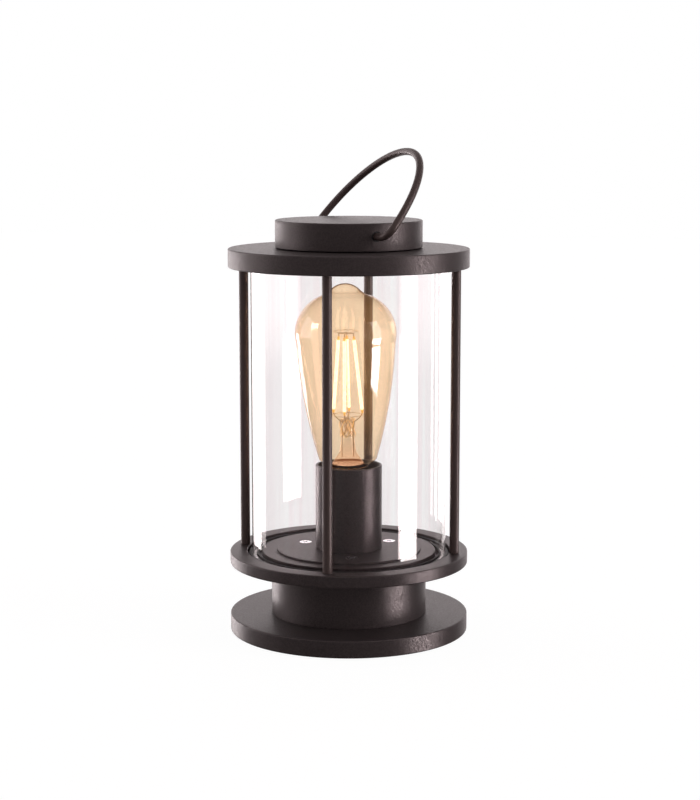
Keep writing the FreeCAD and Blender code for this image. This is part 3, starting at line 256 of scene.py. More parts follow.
@dataclass(frozen=True)
class PowderCoat:
    """Fine-texture powder coat: speckled colour, tiny pebbles, and paler edges, partly rubbed wear and partly a
    painted edge highlight.
    """

    name: str = "anthracite_coat"
    colour: Colour = (0.017, 0.013, 0.0135)
    light: Colour = (0.060, 0.047, 0.048)
    rubbed_edge_and_highlight: Colour = (0.13, 0.108, 0.108)
    roughness: float = 0.47
    grain_mm: float = 0.95
    pebble_mm: float = 0.05
    unevenness: float = 0.09

    def material(self) -> Material:
        """Build the material.

        Returns:
            The material.
        """
        tree = Tree(self.name)
        grain = tree.noise(self.grain_mm, 2.0, 0.6)
        cloud = tree.noise(28.0, 2.0)
        speckled = tree.blend(tree.ramp(grain, 0.35, 0.68, 0.0, 1.0), self.colour, self.light)
        clouded = tree.blend(tree.ramp(cloud, 0.3, 0.7, 0.0, 0.25), speckled, self.light)
        # Paler edges by pointiness: partly rubbed wear, partly a painted highlight along every edge.
        colour = tree.blend(tree.edges(), clouded, self.rubbed_edge_and_highlight)
        rough = tree.ramp(grain, 0.35, 0.65, self.roughness - self.unevenness, self.roughness + self.unevenness)
        return tree.opaque(colour, rough, tree.bump(grain, self.pebble_mm), Specular_IOR_Level=0.85,
                           Specular_Tint=(1.0, 0.86, 0.86, 1.0))


@dataclass(frozen=True)
class BareMetal:
    """Bare or plated metal with fine marks and slightly duller patches."""

    name: str
    colour: Colour
    roughness: float = 0.25
    dull: Colour = (0.3, 0.28, 0.26)
    dulled: float = 0.25
    mark_mm: float = 1.2

    def material(self) -> Material:
        """Build the material.

        Returns:
            The material.
        """
        tree = Tree(self.name)
        marks = tree.noise(self.mark_mm, 4.0, 0.65)
        cloud = tree.noise(6.0, 3.0)
        colour = tree.blend(tree.ramp(cloud, 0.35, 0.75, 0.0, self.dulled), self.colour, self.dull)
        rough = tree.ramp(marks, 0.3, 0.7, self.roughness - 0.06, self.roughness + 0.10)
        return tree.opaque(colour, rough, tree.bump(marks, 0.01), Metallic=1.0)


@dataclass(frozen=True)
class Moulded:
    """Moulded plastic, rubber or insulation with a faint mottled skin and a painted highlight on its edges."""

    name: str
    colour: Colour
    roughness: float = 0.5
    grain_mm: float = 0.8
    depth_mm: float = 0.02
    paler: float = 0.35

    def material(self) -> Material:
        """Build the material.

        Returns:
            The material.
        """
        tree = Tree(self.name)
        grain = tree.noise(self.grain_mm, 3.0)
        cloud = tree.noise(9.0, 2.0)
        paler_tone_and_edge_highlight = tuple(min(1.0, part * 1.3 + 0.012) for part in self.colour)
        mottled = tree.blend(tree.ramp(cloud, 0.3, 0.7, 0.0, self.paler), self.colour, paler_tone_and_edge_highlight)
        # Paler edges by pointiness: a painted highlight.
        colour = tree.blend(tree.edges(0.53, 0.62), mottled, paler_tone_and_edge_highlight)
        rough = tree.ramp(grain, 0.3, 0.7, self.roughness - 0.06, self.roughness + 0.06)
        return tree.opaque(colour, rough, tree.bump(grain, self.depth_mm))


@dataclass(frozen=True)
class CageGlass:
    """One skin of the drawn glass tube, with upright draw marks, a slight waviness, and a painted dark line where it
    is seen nearly edge on.
    """

    name: str
    tint: Colour = (1.0, 1.0, 1.0)
    drawn: Colour = (0.99, 0.965, 0.97)
    painted_edge_shade: Colour = (1.0, 1.0, 1.0)
    least: float = 0.043
    most: float = 1.0

    def material(self) -> Material:
        """Build the material.

        Returns:
            The material.
        """
        tree = Tree(self.name)
        facing = tree.facing()
        marks = tree.noise(7.0, 3.0, 0.6, 60.0)
        wave = tree.noise(45.0, 1.0)
        smear = tree.noise(12.0, 4.0, 0.6)
        tint = tree.blend(tree.ramp(marks, 0.42, 0.60, 0.0, 1.0), self.tint, self.drawn)
        # Painted shade: a dark line in the tint where the wall is seen nearly edge on.
        line = tree.math("MULTIPLY", tree.ramp(facing, 0.80, 0.86, 0.0, 1.0), tree.ramp(facing, 0.89, 0.94, 1.0, 0.0))
        share = tree.ramp(tree.math("POWER", facing, 5.0), 0.0, 1.0, self.least, self.most)
        return tree.done(tree.film(tree.blend(line, tint, self.painted_edge_shade), share,
                                   tree.ramp(smear, 0.55, 0.8, 0.0, 0.04), tree.bump(wave, 0.02)))


@dataclass(frozen=True)
class BlownGlass:
    """A thin blown wall: tinted clear, darker and glossier where it is seen edge on, with a painted warm glow in it
    that stands in for the filaments' light.

    Heights are above the floor. From tip_from up, the wall mirrors less and its outline is darker.
    """

    name: str
    tint: Colour
    edge_tint: Colour
    edge_power: float = 9.0
    least: float = 0.08
    most: float = 0.8
    glow: Colour = (0.0, 0.0, 0.0)
    glow_low: float = 0.0
    glow_high: float = 1.0
    tip_from: float = 400.0
    tip_gloss: float = 0.15

    def material(self) -> Material:
        """Build the material.

        Returns:
            The material.
        """
        tree = Tree(self.name)
        cloud = tree.noise(16.0, 3.0)
        ripple = tree.noise(5.0, 1.0, 0.5, 12.0)
        facing = tree.facing()
        height = tree.add("SeparateXYZ", {"Vector": tree.place()}).outputs["Z"]
        thin = tree.ramp(height, (self.tip_from - 4) * MM, self.tip_from * MM, 1.0, self.tip_gloss)
        outline = tree.math("MULTIPLY", tree.ramp(facing, 0.60, 0.76, 0.0, 1.0),
                            tree.ramp(thin, self.tip_gloss, 1.0, 0.8, 0.0))
        edge = tree.math("MAXIMUM", tree.math("POWER", facing, self.edge_power), outline)
        tint = tree.blend(edge, self.tint, self.edge_tint)
        faint = tree.blend(tree.ramp(cloud, 0.3, 0.7, 0.0, 0.05), tint, self.edge_tint)
        mirrored = tree.ramp(tree.math("POWER", facing, 5.0), 0.0, 1.0, self.least, self.most)
        share = tree.math("MULTIPLY", thin, mirrored)
        wall = tree.film(faint, share, tree.ramp(cloud, 0.3, 0.8, 0.0, 0.05), tree.bump(ripple, 0.05))
        if sum(self.glow) == 0:
            return tree.done(wall)
        # Painted glow: the glass itself gives a little light in a band of heights.
        rise = tree.ramp(height, self.glow_low * MM, (self.glow_low + 40) * MM, 0.0, 1.0)
        fall = tree.ramp(height, (self.glow_high - 40) * MM, self.glow_high * MM, 1.0, 0.0)
        light = tree.add("Emission", {"Color": (*self.glow, 1.0), "Strength": tree.math("MULTIPLY", rise, fall)})
        return tree.done(tree.add("AddShader", {"0": wall, "1": light.outputs[0]}).outputs[0])


@dataclass(frozen=True)
class Phosphor:
    """Glowing phosphor coat of a filament, warmer in its dips."""

    name: str = "filament_glow"
    warm: Colour = (1.0, 0.89, 0.62)
    light: Colour = (1.0, 0.96, 0.84)
    strength: float = 1.5

    def material(self) -> Material:
        """Build the material.

        Returns:
            The material.
        """
        tree = Tree(self.name)
        beads = tree.noise(1.6, 2.0)
        glow = tree.blend(tree.ramp(beads, 0.3, 0.7, 0.0, 1.0), self.warm, self.light)
        return tree.opaque(glow, 0.6, tree.bump(beads, 0.08), Emission_Color=glow, Emission_Strength=self.strength)


Finish = PowderCoat | BareMetal | Moulded | CageGlass | BlownGlass | Phosphor


def built(finish: Finish) -> Material:
    """A finish whose material is built when the set is made."""
    return field(default_factory=finish.material)


@dataclass
class Finishes:
    """Every finish of the lamp, built once."""

    coat: Material = built(PowderCoat())
    # A warmer, lighter copy of the anthracite coat: painted warm light on the rods and the bail.
    painted_warm_rod_coat: Material = built(PowderCoat(
        "painted_warm_rod_coat", (0.055, 0.036, 0.031), (0.085, 0.056, 0.050), roughness=0.48, grain_mm=0.6,
        pebble_mm=0.005, unevenness=0.03))
    zinc: Material = built(BareMetal("bright_zinc", (0.86, 0.86, 0.88), 0.22, (0.55, 0.56, 0.6), 0.35))
    black_oxide: Material = built(BareMetal("black_oxide", (0.06, 0.06, 0.065), 0.35, (0.03, 0.03, 0.03)))
    cap: Material = built(BareMetal("cap_sheet", (0.80, 0.62, 0.46), 0.18, (0.42, 0.25, 0.14), 0.5))
    brass: Material = built(BareMetal("bare_brass", (0.78, 0.50, 0.26), 0.2, (0.35, 0.18, 0.08), 0.4))
    solder: Material = built(BareMetal("dull_solder", (0.5, 0.5, 0.52), 0.45))
    wire: Material = built(BareMetal("drawn_wire", (0.90, 0.58, 0.26), 0.3, (0.45, 0.24, 0.09), 0.5, 0.5))
    black_plastic: Material = built(Moulded("black_moulding", (0.018, 0.017, 0.018), 0.42))
    black_glass: Material = built(Moulded("black_insulator", (0.008, 0.008, 0.009), 0.12, depth_mm=0.005))
    natural: Material = built(Moulded("natural_moulding", (0.62, 0.59, 0.52), 0.45))
    rubber: Material = built(Moulded("black_rubber", (0.014, 0.014, 0.014), 0.75, 0.5, 0.04))
    silicone: Material = built(Moulded("grey_silicone", (0.05, 0.047, 0.048), 0.6, 1.0))
    brown: Material = built(Moulded("brown_insulation", (0.11, 0.035, 0.012), 0.4))
    blue: Material = built(Moulded("blue_insulation", (0.02, 0.08, 0.35), 0.4))
    board: Material = built(Moulded("green_board", (0.02, 0.12, 0.05), 0.3))
    # The outer skin takes the painted dark edge line.
    cage_glass: Material = built(CageGlass("cage_glass", painted_edge_shade=(0.45, 0.43, 0.43)))
    cage_bore: Material = built(CageGlass("cage_glass_bore", most=0.12))
    # The bulb's glass and its stem carry a painted glow in a band of heights.
    amber: Material = built(BlownGlass(
        "amber_glass", (0.99, 0.88, 0.73), (0.20, 0.10, 0.04), 4.5, 0.07, 0.5,
        glow=(0.07, 0.034, 0.008), glow_low=110.0, glow_high=250.0, tip_from=222.0))
    stem: Material = built(BlownGlass(
        "stem_glass", (0.97, 0.94, 0.90), (0.60, 0.45, 0.30), 4.0, 0.06, 0.7,
        glow=(0.34, 0.11, 0.03), glow_low=60.0, glow_high=126.0))
    phosphor: Material = built(Phosphor())
    hot_end: Material = built(Phosphor("filament_end", (0.95, 0.50, 0.12), (1.0, 0.72, 0.24), 0.7))


# ---------------------------------------------------------------------------
# Mesh making
# ---------------------------------------------------------------------------


def rounded(corners: Iterable[Sequence[float]], closed: bool = True, steps: int = 4) -> Profile:
    """Round the corners of an outline.

    Args:
        corners: Points (radius, height) or (radius, height, rounding radius).
        closed: Whether the last corner joins the first.
        steps: Straight pieces in each rounding.

    Returns:
        The outline with its roundings as short straight pieces.
    """
    listed = list(corners)
    outline: Profile = []
    for index, corner in enumerate(listed):
        here = Vector(corner[:2])
        ends = not closed and index in (0, len(listed) - 1)
        if len(corner) < 3 or ends:
            outline.append((here.x, here.y))
            continue
        before = (Vector(listed[index - 1][:2]) - here).normalized()
        after = (Vector(listed[(index + 1) % len(listed)][:2]) - here).normalized()
        half = before.angle(after) / 2
        cut = corner[2] / math.tan(half)
        middle = here + (before + after).normalized() * (corner[2] / math.sin(half))
        start = here + before * cut - middle
        turn = (here + after * cut - middle).angle_signed(start)
        for step in range(steps + 1):
            spoke = Matrix.Rotation(turn * step / steps, 2) @ start + middle
            outline.append((spoke.x, spoke.y))
    return outline


def arc(start: Sequence[float], end: Sequence[float], bend: float, steps: int) -> Profile:
    """Points on an arc from start to end, the start left out; a positive bend turns left.

    Args:
        start: Where the arc leaves.
        end: Where it arrives.
        bend: Its radius.
        steps: Its straight pieces.

    Returns:
        The points.
    """
    first, last = Vector(start), Vector(end)
    chord = last - first
    reach = math.sqrt(bend * bend - chord.length_squared / 4)
    side = Vector((-chord.y, chord.x)).normalized() * reach * (1 if bend > 0 else -1)
    centre = (first + last) / 2 + side
    spoke = first - centre
    turn = 2 * math.asin(chord.length / 2 / abs(bend)) * (1 if bend > 0 else -1)
    turned = [Matrix.Rotation(turn * step / steps, 2) @ spoke + centre for step in range(1, steps + 1)]
    return [(point.x, point.y) for point in turned]


def ringed(profile: Profile, closed: bool, margin: float = 1.0, pace: float = 8.0) -> Profile:
    """Add points near both ends of long straight runs and along them, so that the edge wear and painted edge highlight
    stay at the edges.

    Args:
        profile: Points (radius, height) in millimetres.
        closed: Whether the last point joins the first.
        margin: How far from its ends the first and last new point of a run are.
        pace: The longest step between two new points.

    Returns:
        The same outline with more points.
    """
    runs = list(zip(profile, profile[1:])) + ([(profile[-1], profile[0])] if closed else [])
    outline: Profile = []
    for start, end in runs:
        first, last = Vector(start), Vector(end)
        inner = (last - first).length - 2 * margin
        outline.append(start)
        if inner > 2 * margin:
            steps = math.ceil(inner / pace)
            along = (last - first).normalized()
            places = [first + along * (margin + inner * step / steps) for step in range(steps + 1)]
            outline += [(place.x, place.y) for place in places]
    return outline if closed else [*outline, profile[-1]]


def linked(name: str, data: bpy.types.ID) -> Thing:
    """A new object in the scene."""
    thing = bpy.data.objects.new(name, data)
    bpy.context.scene.collection.objects.link(thing)
    return thing


def smooth(mesh: bpy.types.Mesh, sharp: float = SHARP) -> None:
    """Shade a mesh smooth, apart from edges above an angle in degrees."""
    mesh.shade_smooth()
    mesh.set_sharp_from_angle(angle=math.radians(sharp))


def keep_flats(thing: Thing) -> None:
    """Let large flats keep their own normals."""
    thing.modifiers.new("flats", "WEIGHTED_NORMAL").keep_sharp = True


def skin(rings: Sequence[Sequence[int]], closed: bool) -> list[Sequence[int]]:
    """Faces between rings of point numbers.

    Args:
        rings: The rings, all of the same length; a point on the axis fills its ring.
        closed: Whether the last ring joins the first.

    Returns:
        Faces of four corners, or of three where two of them meet.
    """
    pairs = list(zip(rings, rings[1:])) + ([(rings[-1], rings[0])] if closed else [])
    faces: list[Sequence[int]] = []
    for low, high in pairs:
        for step in range(len(low)):
            there = (step + 1) % len(low)
            corners = list(dict.fromkeys((low[step], low[there], high[there], high[step])))
            if len(corners) > 2:
                faces.append(corners)
    return faces


def made(name: str, points: Sequence[Vector], faces: Sequence[Sequence[int]], at: Matrix | None = None,
         sharp: float = SHARP, weighted: bool = True) -> Thing:
    """Make an object with its normals outward, smooth with sharp edges kept.

    Args:
        name: The object's name.
        points: Its points in millimetres.
        faces: Its faces, as numbers of points.
        at: Where it goes, in metres.
        sharp: Edges above this angle stay sharp, in degrees.
        weighted: Whether large flats keep their own normals.

    Returns:
        The new object.
    """
    place = at or Matrix.Identity(4)
    mesh = bpy.data.meshes.new(name)
    mesh.from_pydata([place @ (point * MM) for point in points], [], faces)
    work = bmesh.new()
    work.from_mesh(mesh)
    bmesh.ops.remove_doubles(work, verts=work.verts, dist=WELD)
    bmesh.ops.recalc_face_normals(work, faces=work.faces)
    work.to_mesh(mesh)
    work.free()
    smooth(mesh, sharp)
    thing = linked(name, mesh)
    if weighted:
        keep_flats(thing)
    return thing


def lathe(name: str, corners: Iterable[Sequence[float]], segments: int, closed: bool = True,
          at: Matrix | None = None, weighted: bool = True, steps: int = 4,
          bulge: Callable[[float, float, float], float] | None = None) -> Thing:
    """Turn an outline about the Z axis.

    Args:
        name: The object's name.
        corners: Points (radius, height) or (radius, height, rounding radius) in millimetres.
        segments: Steps round the axis.
        closed: Whether the outline's last point joins its first.
        at: Where the turned piece goes, in metres.
        weighted: Whether large flats keep their own normals.
        steps: Straight pieces in each rounding.
        bulge: The radius at an angle, a radius and a height, for threads, ribs and flats.

    Returns:
        The new object.
    """
    outline = rounded(corners, closed, steps)
    if segments >= LARGE and weighted and not bulge:
        outline = ringed(outline, closed)
    points: list[Vector] = []
    rings: list[list[int]] = []
    for radius, height in outline:
        if radius < 1e-6:
            rings.append([len(points)] * segments)
            points.append(Vector((0, 0, height)))
            continue
        rings.append(list(range(len(points), len(points) + segments)))
        for step in range(segments):
            angle = 2 * math.pi * step / segments
            reach = bulge(angle, radius, height) if bulge else radius
            points.append(Vector((reach * math.cos(angle), reach * math.sin(angle), height)))
    return made(name, points, skin(rings, closed), at, weighted=weighted)


def ring_of(name: str, corners: Profile, segments: int, circle: float, first: float, count: int) -> list[Thing]:
    """Equal turned pieces or cutters at even steps round a circle.

    Args:
        name: Their name.
        corners: Their outline.
        segments: Steps round each.
        circle: The circle's radius in millimetres.
        first: Azimuth of the first, in degrees.
        count: How many there are.

    Returns:
        The new objects.
    """
    return [lathe(name, corners, segments, closed=False, at=shift(circle, first + 360 / count * number))
            for number in range(count)]


def tube(name: str, path: Sequence[Vector], radius: float, sides: int, at: Matrix) -> Thing:
    """A round tube along a path, its ends closed with a small bevel.

    Args:
        name: The object's name.
        path: Points of the centre line in millimetres.
        radius: The tube's radius in millimetres.
        sides: Steps round the tube.
        at: Where the tube goes, in metres.

    Returns:
        The new object.
    """
    line = [Vector(point) for point in path]
    along = [(line[min(i + 1, len(line) - 1)] - line[max(i - 1, 0)]).normalized() for i in range(len(line))]
    side = along[0].orthogonal().normalized()
    spokes = []
    for index, direction in enumerate(along):
        if index:
            side = along[index - 1].rotation_difference(direction) @ side
        side = (side - direction * side.dot(direction)).normalized()
        spokes.append(side.copy())
    stations = list(zip(line, along, spokes, [radius] * len(line)))
    cut = radius * 0.25
    (start, leaving, first, _), (end, arriving, last, _) = stations[0], stations[-1]
    stations[0] = (start + leaving * cut, leaving, first, radius)
    stations[-1] = (end - arriving * cut, arriving, last, radius)
    stations = [(start, leaving, first, radius - cut), *stations, (end, arriving, last, radius - cut)]
    points = [centre + Matrix.Rotation(2 * math.pi * step / sides, 3, direction) @ spoke * reach
              for centre, direction, spoke, reach in stations for step in range(sides)]
    rings = [range(station * sides, (station + 1) * sides) for station in range(len(stations))]
    faces = [*skin(rings, False), tuple(rings[0]), tuple(rings[-1])]
    return made(name, points, faces, at, 40.0, weighted=False)


def joined(name: str, things: Sequence[Thing]) -> Thing:
    """Join objects into one, keeping their materials.

    Args:
        name: The new object's name.
        things: The objects, which are dropped.

    Returns:
        The new object.
    """
    slots: list[Material] = []
    work = bmesh.new()
    for thing in things:
        before = len(work.faces)
        work.from_mesh(thing.data)
        work.faces.ensure_lookup_table()
        for face in work.faces[before:]:
            own = thing.data.materials[face.material_index] if thing.data.materials else None
            if own is not None and own not in slots:
                slots.append(own)
            face.material_index = slots.index(own) if own is not None else 0
    mesh = bpy.data.meshes.new(name)
    work.to_mesh(mesh)
    work.free()
    for material in slots:
        mesh.materials.append(material)
    weighted = any(thing.modifiers for thing in things)
    for thing in things:
        bpy.data.objects.remove(thing)
    result = linked(name, mesh)
    if weighted:
        keep_flats(result)
    return result


def cut_away(thing: Thing, cutters: Sequence[Thing]) -> Thing:
    """Cut holes in an object and drop the cutters.

    Args:
        thing: The object.
        cutters: What is cut away.

    Returns:
        The object with its holes.
    """
    tool = joined(f"{thing.name}_tool", cutters)
    thing.modifiers.clear()
    modifier = thing.modifiers.new("holes", "BOOLEAN")
    modifier.operation = "DIFFERENCE"
    modifier.solver = "EXACT"
    modifier.object = tool
    bpy.context.view_layer.update()
    solid = bpy.data.meshes.new_from_object(thing.evaluated_get(bpy.context.evaluated_depsgraph_get()))
    thing.modifiers.clear()
    old, thing.data = thing.data, solid
    bpy.data.meshes.remove(old)
    bpy.data.objects.remove(tool)
    smooth(solid)
    keep_flats(thing)
    return thing


def shift(across: float, azimuth: float, height: float = 0.0) -> Matrix:
    """The place at a radius, an azimuth in degrees and a height, in metres."""
    turn = Matrix.Rotation(math.radians(azimuth), 4, "Z")
    return turn @ Matrix.Translation(Vector((across, 0, height)) * MM)


def dress(thing: Thing, material: Material, body: Body, slot: Slot, *nodes: str) -> None:
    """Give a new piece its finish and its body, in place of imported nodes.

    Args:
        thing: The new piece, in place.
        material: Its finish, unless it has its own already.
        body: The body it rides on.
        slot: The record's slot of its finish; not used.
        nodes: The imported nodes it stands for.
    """
    if not thing.data.materials:
        thing.data.materials.append(material)
    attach(thing, body.value)
    if nodes:
        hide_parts(*nodes)
    LOG.info("%s rides on %s", thing.name, body.value)


def refinish(material: Material, *nodes: str) -> None:
    """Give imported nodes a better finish.

    Args:
        material: The finish.
        nodes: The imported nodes.
    """
    for node in nodes:
        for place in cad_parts[node].material_slots:
            place.material = material
        LOG.info("%s keeps its packed shape", node)


# ---------------------------------------------------------------------------
# Sub-assemblies
# ---------------------------------------------------------------------------


@dataclass
class Base:
    """Base disc on its feet, the drum neck and the cable inlet."""

    finishes: Finishes
    disc_radius: float = 77.5
    low: float = 1.0
    top: float = 12.1
    neck_radius: float = 50.5
    neck_bore: float = 47.5
    neck_top: float = 45.5
    tie_circle: float = 40.0
    foot_circle: float = 66.0
    register: float = 47.3
    register_rise: float = 1.5
    relief: float = 33.0
    relief_depth: float = 3.0
    edge: float = 0.7
    inlet_height: float = 28.8
    inlet_face: float = 49.4
    inlet_bore: float = 8.1

    @property
    def inlet_place(self) -> Matrix:
        """The axis of the cable inlet, out of the neck's back."""
        return Matrix.Translation((0, 0, self.inlet_height * MM)) @ Matrix.Rotation(-math.pi / 2, 4, "X")

    def build(self) -> None:
        """Build and dress every piece of the base."""
        self.disc()
        self.neck()
        self.inlet()
        finishes = self.finishes
        refinish(finishes.rubber, "rubber_feet", "inlet_seal")
        refinish(finishes.zinc, "neck_tie_screws", "earth_screw")
        refinish(finishes.natural, "terminal_block")
        refinish(finishes.brown, "live_lead")
        refinish(finishes.blue, "neutral_lead")
        refinish(finishes.black_plastic, "inlet_locknut")

    def disc(self) -> None:
        """The turned base disc, with its countersunk holes and the seats of the feet."""
        low, top, roof, rise = self.low, self.top, self.low + self.relief_depth, self.top + self.register_rise
        body = lathe("base_plate", [
            (0, roof), (self.relief, roof), (self.relief, low, 0.3), (self.disc_radius, low, self.edge),
            (self.disc_radius, top, self.edge), (self.register, top), (self.register, rise), (0, rise),
        ], 224, closed=False)
        under, over = low - 1, top + 3
        bored = ring_of("tie_hole", [(0, under), (4.5, under), (4.5, low), (2.3, low + 2.2), (2.3, over), (0, over)],
                        32, self.tie_circle, 45, 4)
        seats = ring_of("foot_seat", [(0, under), (7.1, under), (7.1, low + 1.2), (0, low + 1.2)],
                        48, self.foot_circle, 0, 4)
        holes = [hole for pair in zip(bored, seats) for hole in pair]
        dress(cut_away(body, holes), self.finishes.coat, Body.LAMP, Slot.CASTING, "base_disc")

    def neck(self) -> None:
        """The drum, with a boss, a spot face and a hole for the cable inlet at the back."""
        back, bore = self.inlet_place, self.inlet_bore
        wall = lathe("neck_drum_wall", [
            (self.neck_bore, self.top), (self.neck_radius, self.top, 0.25), (self.neck_radius, self.neck_top, 0.25),
            (self.neck_bore, self.neck_top),
        ], 192)
        boss = lathe("neck_boss", [(bore, 45.5), (13, 45.5, 0.3), (13, 48.2), (bore, 48.2)], 64, at=back)
        spot = lathe("spot_tool", [(0, self.inlet_face), (12, self.inlet_face), (12, 60), (0, 60)], 64, closed=False,
                     at=back)
        bored = lathe("bore_tool", [(0, 40), (bore, 40), (bore, 58), (0, 58)], 48, closed=False, at=back)
        drum = joined("neck_drum_whole", [cut_away(wall, [spot, bored]), boss])
        dress(drum, self.finishes.coat, Body.LAMP, Slot.CASTING, "neck_drum")

    def inlet(self) -> None:
        """The cable gland: a hexagon body and a ribbed dome nut."""
        face = self.inlet_face

        def sided(angle: float, radius: float, height: float) -> float:
            """A hexagon 20 mm across its flats, with the corners turned off."""
            flat = 10.0 / math.cos((angle + math.pi / 6) % (math.pi / 3) - math.pi / 6)
            return min(flat, radius) if radius > 9.9 else radius

        def ribbed(angle: float, radius: float, height: float) -> float:
            """Shallow finger flutes round the nut."""
            return radius - 0.35 * max(0.0, math.cos(24 * angle)) if radius > 9.0 else radius

        body = lathe("inlet_hexagon", [
            (4.2, face - 7.5), (7.8, face - 7.5), (8.0, face - 7.2), (8.0, face), (11.0, face), (11.3, face + 0.4),
            (11.3, face + 4.1), (11.0, face + 4.5), (7.4, face + 4.5), (7.3, face + 11.5), (6.0, face + 11.5),
            (6.0, face + 6.5), (4.2, face + 6.5),
        ], 96, at=self.inlet_place, bulge=sided)
        dress(body, self.finishes.black_plastic, Body.LAMP, Slot.PLASTIC, "inlet_body")
        low = face + 4.7
        nut = lathe("inlet_dome_nut", [
            (7.4, low), (10.0, low, 0.4), (10.0, low + 7.5, 0.8), (9.2, low + 9.5, 2.0), (6.6, low + 12.6, 1.2),
            (4.1, low + 12.6, 0.3), (4.1, low + 9.4), (6.1, low + 9.2), (7.4, low + 7.2),
        ], 192, at=self.inlet_place, bulge=ribbed)
        dress(nut, self.finishes.black_plastic, Body.LAMP, Slot.PLASTIC, "inlet_cap_nut")


@dataclass
class Cage:
    """Flange, glass cylinder, gaskets, rods and top disc.

    A groove has an inner radius, an outer radius and a depth; the ledge has its two radii and its thickness.
    """

    finishes: Finishes
    disc_radius: float = 77.5
    flange_low: float = 45.5
    flange_top: float = 53.2
    top_low: float = 238.2
    top_top: float = 250.2
    glass_radius: float = 63.2
    glass_bore: float = 60.0
    glass_low: float = 50.4
    glass_high: float = 240.6
    rod_circle: float = 69.6
    rod_radius: float = 3.05
    lower_groove: tuple[float, float, float] = (56.5, 66.3, 4.2)
    upper_groove: tuple[float, float, float] = (58.7, 65.1, 3.8)
    ledge: tuple[float, float, float] = (37.6, 41.0, 3.5)
    edge: float = 0.7

    def build(self) -> None:
        """Build and dress every piece of the cage."""
        self.flange()
        self.top()
        self.glass()
        self.rods()
        refinish(self.finishes.silicone, "lower_glass_gasket", "upper_glass_gasket")
        refinish(self.finishes.zinc, "rod_screws")

    def flange(self) -> None:
        """The lower disc, with the groove of the glass and its screw holes."""
        low, high, inner, outer, depth = self.flange_low, self.flange_top, *self.lower_groove
        disc = lathe("flange_plate", [
            (5.2, low), (44, low), (44, low - 1.5), (47.3, low - 1.5), (47.3, low), (self.disc_radius, low, self.edge),
            (self.disc_radius, high, self.edge), (outer, high, 0.35), (outer, high - depth), (inner, high - depth),
            (inner, high, 0.35), (5.2, high),
        ], 224)
        under, over = low - 1, high + 1
        holes = ring_of("rod_tool", [(0, under), (4.35, under), (1.65, low + 1.8), (1.65, over), (0, over)],
                        32, self.rod_circle, 0, 4)
        holes += ring_of("plate_tool", [(0, low + 0.8), (2.05, low + 0.8), (2.05, high - 0.9), (3.15, high + 0.2),
                                        (0, high + 0.2)], 32, *PLATE_SCREWS, 3)
        dress(cut_away(disc, holes), self.finishes.coat, Body.LAMP, Slot.CASTING, "flange_disc")

    def top(self) -> None:
        """The upper disc, with the groove of the glass beneath and the ledge that the lid's lugs catch."""
        low, high, inner, outer, depth = self.top_low, self.top_top, *self.upper_groove
        mouth, bore, thick = self.ledge
        disc = lathe("top_plate", [
            (outer, low, 0.3), (self.disc_radius, low, self.edge), (self.disc_radius, high, self.edge),
            (mouth, high, 0.3), (mouth, high - thick), (bore, high - thick), (bore, low, 0.3), (inner, low, 0.3),
            (inner, low + depth), (outer, low + depth),
        ], 224)
        notches = [self.sector("notch_tool", mouth - 1.0, bore, high - 4.0, high + 1.0, 45 + 120 * third, 36)
                   for third in range(3)]
        dress(cut_away(disc, notches), self.finishes.coat, Body.LAMP, Slot.CASTING, "top_disc")

    @staticmethod
    def sector(name: str, inner: float, outer: float, low: float, high: float, azimuth: float,
               sweep: float, steps: int = 10) -> Thing:
        """A block between two radii and two heights, centred on an azimuth.

        Args:
            name: The block's name.
            inner: Its inner radius.
            outer: Its outer radius.
            low: Its lower height.
            high: Its upper height.
            azimuth: Its middle, in degrees.
            sweep: How far it goes round, in degrees.
            steps: Its straight pieces.

        Returns:
            The block.
        """
        corners = ((inner, low), (outer, low), (outer, high), (inner, high))
        points = []
        for step in range(steps + 1):
            angle = math.radians(azimuth - sweep / 2 + sweep * step / steps)
            points += [Vector((radius * math.cos(angle), radius * math.sin(angle), height))
                       for radius, height in corners]
        rings = [range(4 * step, 4 * step + 4) for step in range(steps + 1)]
        return made(name, points, [*skin(rings, False), tuple(rings[0]), tuple(rings[-1])], weighted=False)

    def glass(self) -> None:
        """The glass cylinder, its edges fire-polished."""
        bore, radius, low, high = self.glass_bore, self.glass_radius, self.glass_low, self.glass_high
        pane = lathe("glass_pane", [(bore, low, 0.8), (radius, low, 0.8), (radius, high, 0.8), (bore, high, 0.8)],
                     320, steps=5)
        pane.data.materials.append(self.finishes.cage_glass)
        pane.data.materials.append(self.finishes.cage_bore)
        for face in pane.data.polygons:
            face.material_index = int(math.hypot(*face.center[:2]) < (bore + 0.5) * MM)
        dress(pane, self.finishes.cage_glass, Body.LAMP, Slot.CAGE_GLASS, "glass_cylinder")

    def rods(self) -> None:
        """The four rods, each with a small chamfer where it meets the discs."""
        for name, azimuth in (("rod_right", 0), ("rod_back", 90), ("rod_left", 180), ("rod_front", 270)):
            rod = lathe(f"{name}_bar", [
                (0, self.flange_top), (self.rod_radius, self.flange_top, 0.3), (self.rod_radius, self.top_low, 0.3),
                (2.0, self.top_low), (2.0, self.top_low + 7), (0, self.top_low + 7),
            ], 48, closed=False, at=shift(self.rod_circle, azimuth))
            # The rods take the coat with painted warm light.
            dress(rod, self.finishes.painted_warm_rod_coat, Body.LAMP, Slot.STEEL, name)


